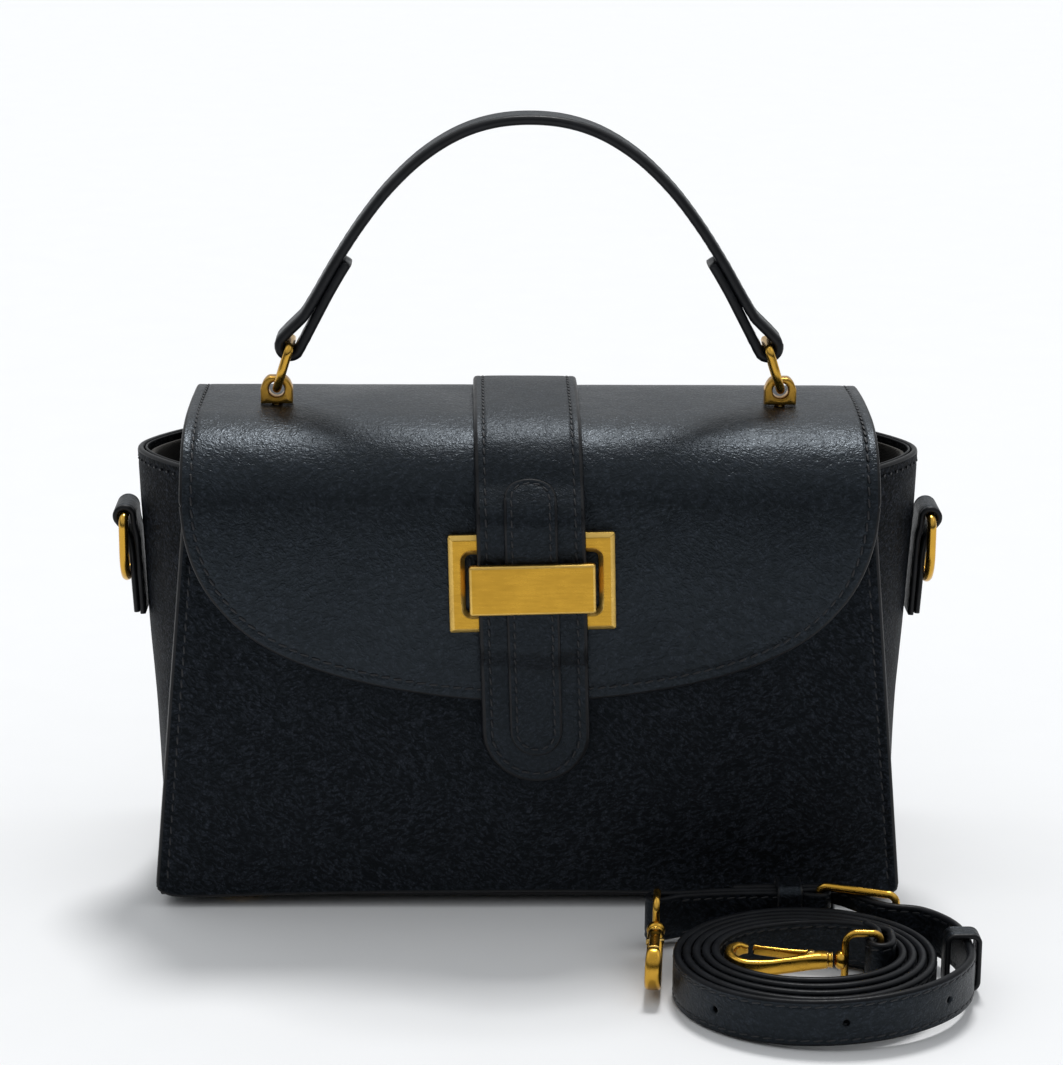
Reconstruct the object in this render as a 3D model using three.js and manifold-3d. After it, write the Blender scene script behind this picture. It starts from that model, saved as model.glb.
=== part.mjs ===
// Small structured leather satchel with a curved flap, a short top handle and a
// detached shoulder strap that lies coiled in front of it.
// Millimetres. Origin on the floor under the middle of the bag, +X to the bag's
// left-hand side as its owner wears it (right in a front view), +Y to the back, +Z up.
import * as THREE from 'three';
import Module from 'manifold-3d';
import { mergeVertices } from 'three/addons/utils/BufferGeometryUtils.js';

const wasm = await Module();
wasm.setup();

// ---------------------------------------------------------------- driving sizes
const CENTRE_Y = 6.0;         // brings the origin under the middle of the bag's depth, lock included
const GAP = 0.3;              // running gap between pieces that touch
const FOOT_H = 3.0;           // metal feet
const BASE_HALF_W = 125;      // half width of the body at its base
const SIDE_TAPER = 0.085;     // how much each side leans in per mm of height
const BASE_HALF_D = 50;       // half depth at the base
const TOP_HALF_D = 40;        // half depth at the top edge
const BODY_TOP = 149.5;         // top edge of the front and back panels
const PANEL_T = 2.4;          // panel leather, folded and stiffened
const GUSSET_T = 2.2;
const RIM_Z = 147.5;          // top edge of the gussets
const FLAP_T = 2.0, FLAP_LINING_T = 1.0;
const FLAP_HALF_W = 114.5;
const HINGE = [39.5, 151.8];  // y, z of the line where the flap leather bends
const STRAP_W = 35, STRAP_T = 2.6;
const OVERLAY_W = 17, OVERLAY_T = 1.3, OVERLAY_GAP = 0.58;
const LOCK = { x: 0.6, z: 114.4, w: 54.5, h: 33, t: 2.8, tilt: 1.5 * Math.PI / 180 };
const LUG_X = 84.8, LUG_W = 10.8, LUG_D = 5, LUG_EYE_Z = 167.2, LUG_EYE_R = 2.65;
const RING_WIRE_R = 1.5, RING_R = 9.0, RING_LEAN = 17.3 * Math.PI / 180, RING_TOP = 7.2;
const HANDLE_W = 14.0, HANDLE_T = 3.2;
const DRING_Y = 0, DRING_BAR_Z = 124.5, DRING_WIRE_R = 1.6;
const CARRY_W = 15, CARRY_T = 2.6, CARRY_Z = 10.45; // shoulder strap: width, thickness, height of its middle at the hardware
const HOOK_WIRE_R = 1.2;

// ---------------------------------------------------------------- materials
const BLACK = 0x17191d, EDGE = 0x24272c, BRASS = 0xb5893f, CLOTH = 0x2b2724, BOARD = 0x6b6257, STEEL = 0xa8a49c;
const mat = (color, roughness, metalness = 0) => new THREE.MeshStandardMaterial({ color, roughness, metalness });
const leather = () => mat(BLACK, 0.5), brass = () => mat(BRASS, 0.32, 1);

const bag = new THREE.Group();
function add(name, geometry, material) {
  geometry.translate(0, CENTRE_Y, 0);
  const mesh = new THREE.Mesh(geometry, material);
  mesh.name = name;
  bag.add(mesh);
  return mesh;
}

// ---------------------------------------------------------------- helpers
const V = (x, y, z) => new THREE.Vector3(x, y, z);
function volumeOf(g) {
  const p = g.attributes.position, ix = g.index; let v = 0;
  for (let i = 0; i < ix.count; i += 3) {
    const a = V().fromBufferAttribute(p, ix.getX(i)), b = V().fromBufferAttribute(p, ix.getX(i + 1)), c = V().fromBufferAttribute(p, ix.getX(i + 2));
    v += a.dot(b.cross(c)) / 6;
  }
  return v;
}
function closed(verts, tris) {
  const g = new THREE.BufferGeometry();
  g.setAttribute('position', new THREE.Float32BufferAttribute(verts.flatMap(v => [v.x, v.y, v.z]), 3));
  g.setIndex(tris);
  if (volumeOf(g) < 0) for (let i = 0; i < tris.length; i += 3) [tris[i + 1], tris[i + 2]] = [tris[i + 2], tris[i + 1]];
  g.setIndex(tris);
  g.computeVertexNormals();
  return g;
}
// a slab between two matching grids of points
function slab(outer, inner) {
  const n = outer.length, m = outer[0].length, verts = [...outer.flat(), ...inner.flat()], t = [];
  const o = (i, j) => i * m + j, q = (i, j) => n * m + i * m + j;
  for (let i = 0; i < n - 1; i++) for (let j = 0; j < m - 1; j++) {
    t.push(o(i, j), o(i + 1, j), o(i + 1, j + 1), o(i, j), o(i + 1, j + 1), o(i, j + 1));
    t.push(q(i, j), q(i + 1, j + 1), q(i + 1, j), q(i, j), q(i, j + 1), q(i + 1, j + 1));
  }
  for (let i = 0; i < n - 1; i++) {
    t.push(o(i, 0), q(i, 0), q(i + 1, 0), o(i, 0), q(i + 1, 0), o(i + 1, 0));
    t.push(o(i, m - 1), q(i + 1, m - 1), q(i, m - 1), o(i, m - 1), o(i + 1, m - 1), q(i + 1, m - 1));
  }
  for (let j = 0; j < m - 1; j++) {
    t.push(o(0, j), q(0, j + 1), q(0, j), o(0, j), o(0, j + 1), q(0, j + 1));
    t.push(o(n - 1, j), q(n - 1, j), q(n - 1, j + 1), o(n - 1, j), q(n - 1, j + 1), o(n - 1, j + 1));
  }
  return closed(verts, t);
}
// a section of 2D points carried along a path; frames[i] = {p, a, b}
function sweep(frames, section, loop = false) {
  const n = frames.length, m = section.length, verts = [], t = [];
  for (const f of frames) for (const [u, w] of section) verts.push(f.p.clone().addScaledVector(f.a, u).addScaledVector(f.b, w));
  const id = (i, j) => (i % n) * m + (j % m);
  for (let i = 0; i < (loop ? n : n - 1); i++) for (let j = 0; j < m; j++)
    t.push(id(i, j), id(i + 1, j), id(i + 1, j + 1), id(i, j), id(i + 1, j + 1), id(i, j + 1));
  if (!loop) for (let j = 1; j < m - 1; j++) {
    t.push(id(0, 0), id(0, j), id(0, j + 1));
    t.push((n - 1) * m, (n - 1) * m + j + 1, (n - 1) * m + j);
  }
  return closed(verts, t);
}
const circle = (r, k = 10) => Array.from({ length: k }, (_, i) => [r * Math.cos(2 * Math.PI * i / k), r * Math.sin(2 * Math.PI * i / k)]);
const rect = (w, h) => [[-w / 2, -h / 2], [w / 2, -h / 2], [w / 2, h / 2], [-w / 2, h / 2]];
// frames along points that stay in a plane with normal nrm
function planarFrames(pts, nrm, loop = false) {
  const n = pts.length;
  return pts.map((p, i) => {
    const q = loop ? pts[(i + 1) % n] : pts[Math.min(i + 1, n - 1)], r = loop ? pts[(i + n - 1) % n] : pts[Math.max(i - 1, 0)];
    const tan = q.clone().sub(r).normalize();
    return { p, a: tan.clone().cross(nrm).normalize(), b: nrm.clone() };
  });
}
function spline(pts, count, loop = false) {
  const c = new THREE.CatmullRomCurve3(pts, loop, 'centripetal');
  const out = c.getSpacedPoints(count);
  if (loop) out.pop();
  return out;
}
function solid(geometry, matrix) {
  let g = geometry.clone();
  if (matrix) g.applyMatrix4(matrix);
  g.deleteAttribute('normal'); g.deleteAttribute('uv');
  g = mergeVertices(g, 1e-5);
  return new wasm.Manifold(new wasm.Mesh({ numProp: 3, vertProperties: g.attributes.position.array, triVerts: new Uint32Array(g.index.array) }));
}
function geometryOf(m) {
  const mesh = m.getMesh(), g = new THREE.BufferGeometry();
  g.setAttribute('position', new THREE.BufferAttribute(new Float32Array(mesh.vertProperties), 3));
  g.setIndex(new THREE.BufferAttribute(new Uint32Array(mesh.triVerts), 1));
  g.computeVertexNormals();
  return g;
}
const placed = (x, y, z, rx = 0, ry = 0, rz = 0) => new THREE.Matrix4().compose(V(x, y, z), new THREE.Quaternion().setFromEuler(new THREE.Euler(rx, ry, rz)), V(1, 1, 1));
const lathe = (profile, k = 24) => { // profile of [r, z] pairs from axis to axis, turned about Z
  const g = new THREE.LatheGeometry(profile.map(([r, z]) => new THREE.Vector2(r, z)), k);
  g.rotateX(Math.PI / 2);
  return geometryOf(solid(g));
};
function outline(pts) { const s = new THREE.Shape(); s.setFromPoints(pts.map(([x, y]) => new THREE.Vector2(x, y))); return s; }
function prism(pts, depth, holes = []) {
  const s = outline(pts);
  for (const h of holes) { const p = new THREE.Path(); p.setFromPoints(h.map(([x, y]) => new THREE.Vector2(x, y))); s.holes.push(p); }
  return new THREE.ExtrudeGeometry(s, { depth, bevelEnabled: false, steps: 1, curveSegments: 8 });
}
const arc = (cx, cy, r, a0, a1, k) => Array.from({ length: k + 1 }, (_, i) => { const a = a0 + (a1 - a0) * i / k; return [cx + r * Math.cos(a), cy + r * Math.sin(a)]; });
const lerp = (table, x) => {
  if (x <= table[0][0]) return table[0][1];
  for (let i = 1; i < table.length; i++) if (x <= table[i][0]) { const [a, u] = table[i - 1], [b, w] = table[i]; return u + (w - u) * (x - a) / (b - a); }
  return table[table.length - 1][1];
};

// ---------------------------------------------------------------- body
const halfW = z => BASE_HALF_W - SIDE_TAPER * (z - FOOT_H);
const halfD = z => BASE_HALF_D - (BASE_HALF_D - TOP_HALF_D) * (z - FOOT_H) / (BODY_TOP - FOOT_H);
const LEAN = Math.atan((BASE_HALF_D - TOP_HALF_D) / (BODY_TOP - FOOT_H));

const FRONT_TOP = 143.5;      // the front panel stops lower, inside the fold of the flap
function panel(side) { // side -1 front, +1 back
  const top = side < 0 ? FRONT_TOP : BODY_TOP;
  const rows = 8, cols = 20, outer = [], inner = [];
  for (let i = 0; i <= rows; i++) {
    const ro = [], ri = [];
    for (let j = 0; j <= cols; j++) {
      const v = -1 + 2 * j / cols, f = i / rows;
      const zb = FOOT_H + 2.4 * (1 - v * v) + 3.2 * Math.pow(Math.abs(v), 40);
      const z = zb + (top - zb) * f, x = v * halfW(z);
      ro.push(V(x, side * halfD(z), z));
      ri.push(V(x, side * (halfD(z) - PANEL_T), z));
    }
    outer.push(ro); inner.push(ri);
  }
  return slab(outer, inner);
}
add('front_panel', panel(-1), leather());
add('back_panel', panel(1), leather());

add('base_panel', new THREE.BoxGeometry(2 * (BASE_HALF_W - 1.2), 2 * (halfD(6) - PANEL_T - GAP), 2.2).translate(0, 0, FOOT_H + 1.1), leather());
add('base_board', new THREE.BoxGeometry(228, 84, 1.8).translate(0, 0, FOOT_H + 2.2 + GAP + 0.9), mat(BOARD, 0.9));

// side wall: a flange behind each panel edge and a soft V that opens towards the top
const APEX = [[3, 124.6], [30, 126.0], [61, 127.4], [88, 129.2], [110, 130.4], [129, 131.3], [148, 132.0]];
function gusset(side) {
  const rows = 14, outer = [], inner = [], z0 = FOOT_H + 2.2 + GAP;
  for (let i = 0; i <= rows; i++) {
    const f = i / rows, pts = [];
    const zf = z => z;
    const z = z0 + (RIM_Z - z0) * f;
    const w = halfW(z), yf = halfD(z) - PANEL_T - GAP - GUSSET_T / 2, apex = lerp(APEX, z) - GUSSET_T / 2, root = w - 5.2, p = 1.6;
    const yw = yf - 2.2;
    pts.push([w - 0.4, -yf], [w - 3.0, -yf], [w - 4.8, -yf + 0.7]);
    for (let k = -6; k <= 6; k++) { const y = yw * k / 6; pts.push([root + (apex - root) * (1 - Math.pow(Math.abs(k) / 6, p)), y]); }
    pts.push([w - 4.8, yf - 0.7], [w - 3.0, yf], [w - 0.4, yf]);
    const ro = [], ri = [];
    pts.forEach(([x, y], k) => {
      const a = pts[Math.max(k - 1, 0)], b = pts[Math.min(k + 1, pts.length - 1)];
      const L = Math.hypot(b[0] - a[0], b[1] - a[1]), nx = (b[1] - a[1]) / L, ny = -(b[0] - a[0]) / L;
      ro.push(V(side * (x + nx * GUSSET_T / 2), y + ny * GUSSET_T / 2, zf(z)));
      ri.push(V(side * (x - nx * GUSSET_T / 2), y - ny * GUSSET_T / 2, zf(z)));
    });
    outer.push(ro); inner.push(ri);
  }
  return slab(outer, inner);
}
add('gusset_left', gusset(-1), leather());
add('gusset_right', gusset(1), leather());

// sewn-in lining: an open-topped fabric box
function cup(zb, zt, t, bx, by, tx, ty) {
  const ring = (x, y, z) => [V(-x, -y, z), V(x, -y, z), V(x, y, z), V(-x, y, z)];
  const v = [...ring(bx, by, zb), ...ring(tx, ty, zt), ...ring(tx - t, ty - t, zt), ...ring(bx - t, by - t, zb + t)], tri = [];
  const band = (a, b) => { for (let k = 0; k < 4; k++) { const l = (k + 1) % 4; tri.push(a + k, a + l, b + l, a + k, b + l, b + k); } };
  band(0, 4); band(4, 8); band(8, 12);
  tri.push(0, 2, 1, 0, 3, 2, 12, 13, 14, 12, 14, 15);
  return closed(v, tri);
}
add('lining', cup(FOOT_H + 2.2 + GAP + 1.8 + GAP, 146, 1.0, 116.5, 42.5, 104.5, 35.8), mat(CLOTH, 0.9));

// metal feet, riveted through the base
const footProfile = [[0, 0], [2.6, 0], [4.6, 0.9], [5.4, 2.0], [5.6, FOOT_H - GAP], [0, FOOT_H - GAP]];
for (const [name, x, y] of [['foot_front_left', -96, -37], ['foot_front_right', 96, -37], ['foot_back_left', -96, 37], ['foot_back_right', 96, 37]])
  add(name, lathe(footProfile, 20).translate(x, y, 0), brass());

// ---------------------------------------------------------------- flap
// outer face of the flap leather in the y-z plane, from the bend line over the top and down the front
const FLAP_PROFILE = [[40.5, 151.8], [40.6, 154.5], [39.6, 157.8], [36.6, 160.2], [32, 161.1], [22, 161.7], [8, 162.0], [-6, 161.9], [-18, 161.2],
  [-28, 159.2], [-36, 155.4], [-42, 149.8], [-46.2, 142.5], [-48.4, 133], [-49.6, 122], [-50.1, 110], [-50.2, 98], [-50.0, 86], [-49.6, 72.5]];
const profileCurve = new THREE.CatmullRomCurve3(FLAP_PROFILE.map(([y, z]) => V(0, y, z)), false, 'centripetal');
const PROFILE_LEN = profileCurve.getLength();
profileCurve.arcLengthDivisions = 800; profileCurve.updateArcLengths();
const onProfile = s => profileCurve.getPointAt(Math.min(Math.max(s / PROFILE_LEN, 0), 1));
function profileNormal(s) { // pointing out of the bag
  const a = onProfile(s - 0.4), b = onProfile(s + 0.4), t = b.sub(a).normalize();
  return V(0, t.z, -t.y);
}
const sOfZ = (() => { // arc length on the front part for a height
  const t = []; for (let s = PROFILE_LEN; s > 60; s -= 0.5) t.push([onProfile(s).z, s]);
  return z => lerp(t, z);
})();
// lower outline of the flap: |x| to height
const LOW = [[0, 72.6], [20, 73.1], [40, 75.6], [55, 78.6], [66, 81.6], [76.5, 85.4], [85, 89.5], [91.5, 93.6], [97, 98.2], [101.5, 103], [105.5, 108.2], [109, 114.6], [111.6, 121.5], [113.4, 129], [114.5, 138]];
const lowZ = x => lerp(LOW, Math.abs(x));
const FLAP_KNOTS = [0, 3, 6, 8.5, 11, 14, 20, 30, 42, 52, 58, 63, 68, 73, 79, 86, 94]; // closer where the leather bends
function flapSheet(inset, off0, off1, first, lower = 8, cols = 20) {
  const outer = [], inner = [], knots = FLAP_KNOTS.slice(first), rows = knots.length - 1 + lower;
  for (let i = 0; i <= rows; i++) {
    const ro = [], ri = [];
    for (let j = 0; j <= cols; j++) {
      const v = Math.sin((j / cols - 0.5) * Math.PI), X = v * FLAP_HALF_W;
      const sEnd = sOfZ(lowZ(X)) - inset * (1 + 0.25 * Math.abs(v));
      const last = knots[knots.length - 1], s = i < knots.length ? knots[i] : last + (sEnd - last) * (i - knots.length + 1) / lower;
      const x = v * (FLAP_HALF_W - inset);
      const p = onProfile(s), n = profileNormal(s);
      ro.push(V(x, p.y, p.z).addScaledVector(n, -off0));
      ri.push(V(x, p.y, p.z).addScaledVector(n, -off1));
    }
    outer.push(ro); inner.push(ri);
  }
  return slab(outer, inner);
}
// the handle bolts and the lock screws pass through the flap
const lugBolt = s => solid(new THREE.CylinderGeometry(2.1, 2.1, 12, 12).rotateX(Math.PI / 2), placed(s * LUG_X, 0, 160));
const lockScrewHole = s => solid(new THREE.CylinderGeometry(1.25, 1.25, 12, 10), placed(LOCK.x + s * 19.3 * Math.cos(LOCK.tilt), -48, LOCK.z + s * 19.3 * Math.sin(LOCK.tilt)));
const bores = [lugBolt(-1), lugBolt(1), lockScrewHole(-1), lockScrewHole(1)];
const bored = g => geometryOf(bores.reduce((m, b) => m.subtract(b), solid(g)));
// the end at the bend is rounded about the bend line
const flapEnd = solid(new THREE.CylinderGeometry(FLAP_T / 2, FLAP_T / 2, 2 * FLAP_HALF_W, 14).rotateZ(Math.PI / 2), placed(0, HINGE[0], HINGE[1]));
add('flap_leather', geometryOf(bores.reduce((m, b) => m.subtract(b), solid(flapSheet(0, 0, FLAP_T, 0)).add(flapEnd))), leather());
add('flap_lining', bored(flapSheet(2.0, FLAP_T + GAP + 0.1, FLAP_T + GAP + 0.1 + FLAP_LINING_T, 4)), mat(CLOTH, 0.9));

// closure strap: follows the flap, rides over the lock frame, ends below the flap in a round tip
const shear = z => LOCK.x - Math.tan(LOCK.tilt * 1.25) * (z - LOCK.z);
const frameTop = LOCK.z + LOCK.h / 2, frameBot = LOCK.z - LOCK.h / 2;
const step = (x, a, b) => { const t = Math.min(Math.max((x - a) / (b - a), 0), 1); return t * t * (3 - 2 * t); };
const strapInner = (() => {
  const pts = [];
  for (let s = 12.5; s < sOfZ(76); s += 3.2) {
    const p = onProfile(s), n = profileNormal(s);
    let off = GAP + 1.5 * Math.exp(-(((p.y - 20) / 22) ** 2)) * step(s, 12, 22);
    const q = p.clone().addScaledVector(n, off);
    if (p.y < -30) { // out over the lock frame and back
      const over = step(p.z, frameBot - 13, frameBot - 3) * (1 - step(p.z, frameTop + 3, frameTop + 15));
      q.y += (Math.min(q.y, -54.0) - q.y) * over;
    }
    pts.push(q);
  }
  pts.push(V(0, -50.2, 70), V(0, -49.9, 62), V(0, -49.5, 54), V(0, -49.1, 45.4));
  return new THREE.CatmullRomCurve3(pts, false, 'centripetal');
})();
strapInner.arcLengthDivisions = 600; strapInner.updateArcLengths();
const STRAP_LEN = strapInner.getLength();
const strapAt = s => strapInner.getPointAt(Math.min(Math.max(s / STRAP_LEN, 0), 1));
const strapNormal = s => { const t = strapAt(s + 0.5).sub(strapAt(s - 0.5)).normalize(); return V(0, t.z, -t.y); };
function strip(width, s0, s1, off0, off1, roundStart, roundEnd, rows, cols) {
  const outer = [], inner = [], r = width / 2;
  for (let i = 0; i <= rows; i++) {
    const ro = [], ri = [];
    for (let j = 0; j <= cols; j++) {
      const v = cols > 1 ? Math.sin((j / cols - 0.5) * Math.PI) : -1 + 2 * j / cols, cut = r * (1 - Math.sqrt(Math.max(0, 1 - v * v)));
      const a = s0 + (roundStart ? cut : 0), b = s1 - (roundEnd ? cut : 0), s = a + (b - a) * i / rows;
      const p = strapAt(s), n = strapNormal(s);
      const x = shear(p.z) + v * r;
      ro.push(V(x, p.y, p.z).addScaledVector(n, off1));
      ri.push(V(x, p.y, p.z).addScaledVector(n, off0));
    }
    outer.push(ro); inner.push(ri);
  }
  return slab(outer, inner);
}
add('closure_strap', strip(STRAP_W, 0, STRAP_LEN, 0, STRAP_T, false, true, 44, 6), leather());
const strapSOfZ = (() => { const t = []; for (let s = STRAP_LEN; s > 70; s -= 0.5) t.push([strapAt(s).z, s]); return z => lerp(t, z); })();
add('strap_overlay', strip(OVERLAY_W, strapSOfZ(146), strapSOfZ(55.4), STRAP_T + OVERLAY_GAP, STRAP_T + OVERLAY_GAP + OVERLAY_T, true, true, 26, 6), leather());

// lock: a rectangular frame under the strap and a bridge bar over it
const lockPlace = y => placed(LOCK.x, y, LOCK.z, 0, -LOCK.tilt, 0);
function roundedRect(w, h, r, k = 4) {
  const x = w / 2 - r, y = h / 2 - r, q = Math.PI / 2;
  return [...arc(x, y, r, 0, q, k), ...arc(-x, y, r, q, 2 * q, k), ...arc(-x, -y, r, 2 * q, 3 * q, k), ...arc(x, -y, r, 3 * q, 4 * q, k)];
}
const FRAME_BACK = -50.75;
{
  const s = outline(roundedRect(LOCK.w - 1.6, LOCK.h - 1.6, 0.6, 1));
  const hole = new THREE.Path(); hole.setFromPoints(roundedRect(43.5 + 1.6, 19.8 + 1.6, 3.0, 3).map(([x, y]) => new THREE.Vector2(x, y))); s.holes.push(hole);
  const g = new THREE.ExtrudeGeometry(s, { depth: LOCK.t - 1.6, bevelEnabled: true, bevelThickness: 0.8, bevelSize: 0.8, bevelSegments: 1 });
  g.translate(0, 0, 0.8); g.rotateX(Math.PI / 2); // front faces -Y
  add('lock_frame', geometryOf(solid(g, lockPlace(FRAME_BACK))), brass());
}
const strapFaceAtLock = strapAt(strapSOfZ(LOCK.z)).y - STRAP_T - OVERLAY_GAP - OVERLAY_T;
const BAR = { w: 41, h: 16.6, t: 3.2, back: strapFaceAtLock - GAP - 0.15 };
{
  const face = new THREE.ExtrudeGeometry(outline(roundedRect(BAR.w - 1.2, BAR.h - 1.2, 0.5, 1)), { depth: BAR.t - 1.2, bevelEnabled: true, bevelThickness: 0.6, bevelSize: 0.6, bevelSegments: 1 });
  face.translate(0, 0, 0.6); face.rotateX(Math.PI / 2);
  const legDepth = FRAME_BACK - BAR.back - 0.0;
  const leg = s => solid(new THREE.BoxGeometry(1.9, legDepth + 1.0, 9), placed(LOCK.x, BAR.back, LOCK.z, 0, -LOCK.tilt, 0).multiply(placed(s * 19.3, (legDepth - 1.0) / 2 + 0.5 - 0.5, 0)));
  add('lock_bar', geometryOf(solid(face, lockPlace(BAR.back)).add(leg(-1)).add(leg(1))), brass());
}
// countersunk screws from inside the flap into the legs of the bar
for (const [name, s] of [['lock_screw_left', -1], ['lock_screw_right', 1]]) {
  const x = LOCK.x + s * 19.3 * Math.cos(LOCK.tilt), z = LOCK.z + s * 19.3 * Math.sin(LOCK.tilt), back = onProfile(sOfZ(z)).y + FLAP_T + GAP + FLAP_LINING_T;
  const shank = solid(new THREE.CylinderGeometry(0.95, 0.95, back + 0.35 - (FRAME_BACK + 0.35), 10), placed(x, (back + 0.35 + FRAME_BACK + 0.35) / 2, z));
  const head = solid(new THREE.CylinderGeometry(2.6, 2.2, 0.9, 14).rotateX(Math.PI), placed(x, back + 0.3 + 0.45, z));
  add(name, geometryOf(shank.add(head)), mat(STEEL, 0.4, 1));
}

// magnetic snap: socket on the front panel, stud on the back of the strap tip
const SNAP_Z = 58, snapX = shear(SNAP_Z);
{
  const y0 = -halfD(SNAP_Z);
  add('snap_socket', lathe([[0, 0], [7, 0], [7, 1.0], [5.6, 1.35], [3.2, 1.35], [3.0, 0.7], [0, 0.7]], 24).applyMatrix4(placed(snapX, y0 - 0.25, SNAP_Z, Math.PI / 2 - LEAN, 0, 0)), brass());
  add('snap_washer', lathe([[0, 0], [7.5, 0], [7.5, 0.7], [0, 0.7]], 20).applyMatrix4(placed(snapX, y0 + PANEL_T + 0.3 + 0.75, SNAP_Z, Math.PI / 2 - LEAN, 0, 0)), mat(STEEL, 0.45, 1));
  const p = strapAt(strapSOfZ(SNAP_Z)), n = strapNormal(strapSOfZ(SNAP_Z));
  add('snap_stud', lathe([[0, 0], [5.6, 0], [5.6, 0.7], [2.4, 0.95], [2.2, 1.25], [0, 1.25]], 24).applyMatrix4(placed(snapX, p.y + 0.32, p.z, -Math.PI / 2 + Math.asin(-n.z), 0, 0)), brass());
}

// handle lugs: thick blocks with a round eye through them along Y, bolted through the flap
const flapTopAt = y => { let best = 0; for (let s = 0; s < 90; s += 0.5) { const p = onProfile(s); if (Math.abs(p.y - y) < 0.6) best = Math.max(best, p.z); } return best; };
const LUG_BASE = flapTopAt(0) + GAP;
for (const [name, s] of [['handle_lug_left', -1], ['handle_lug_right', 1]]) {
  const w = LUG_W / 2, top = LUG_EYE_Z + 4.4, pts = [[-w, LUG_BASE], [w, LUG_BASE], [w, LUG_EYE_Z + 0.4], ...arc(0, LUG_EYE_Z, 5.2, 0.35, Math.PI - 0.35, 8).map(([x, z]) => [x, Math.min(z, top)]), [-w, LUG_EYE_Z + 0.4]];
  const g = prism(pts, LUG_D, [arc(0, LUG_EYE_Z, LUG_EYE_R, 0, 2 * Math.PI * 15 / 16, 15)]).translate(0, 0, -LUG_D / 2).rotateX(Math.PI / 2);
  const shank = solid(new THREE.CylinderGeometry(1.8, 1.8, 5.2, 12).rotateX(Math.PI / 2), placed(s * LUG_X, 0, LUG_BASE - 2.0));
  add(name, geometryOf(solid(g, placed(s * LUG_X, 0, 0)).add(shank)), brass());
}
for (const [name, s] of [['lug_nut_left', -1], ['lug_nut_right', 1]]) {
  const zt = LUG_BASE - GAP - FLAP_T - GAP - FLAP_LINING_T - 0.45;
  const ring = solid(new THREE.CylinderGeometry(4.2, 4.2, 1.6, 20).rotateX(Math.PI / 2), placed(s * LUG_X, 0, zt - 0.8)).subtract(lugBolt(s));
  add(name, geometryOf(ring), mat(STEEL, 0.4, 1));
}

// ---------------------------------------------------------------- handle
const ringBottom = V(LUG_X, 0, LUG_EYE_Z + 0.1);
const RING_C = V(LUG_X - RING_R * Math.sin(RING_LEAN), 0, ringBottom.z + RING_R * Math.cos(RING_LEAN)); // centre of the lower half circle
const ringAxis = V(-Math.sin(RING_LEAN), 0, Math.cos(RING_LEAN));
const RING_BAR = RING_C.clone().addScaledVector(ringAxis, RING_TOP);
function handleRing(side) {
  const rc = 2.4, pts = [];
  const local = (y, h) => V(RING_C.x + ringAxis.x * h, y, RING_C.z + ringAxis.z * h);
  for (const [y, h] of [...arc(0, 0, RING_R, -Math.PI, 0, 18), ...arc(RING_R - rc, RING_TOP - rc, rc, 0, Math.PI / 2, 5), ...arc(-RING_R + rc, RING_TOP - rc, rc, Math.PI / 2, Math.PI, 5)]) pts.push(local(y, h));
  if (side < 0) pts.forEach(p => { p.x = -p.x; });
  const nrm = V(side * ringAxis.z, 0, -ringAxis.x).normalize();
  return sweep(planarFrames(pts, side < 0 ? V(ringAxis.z, 0, ringAxis.x).normalize().multiplyScalar(1) : V(ringAxis.z, 0, -ringAxis.x), true), circle(RING_WIRE_R, 10), true);
}
add('handle_ring_left', handleRing(-1), brass());
add('handle_ring_right', handleRing(1), brass());

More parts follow.
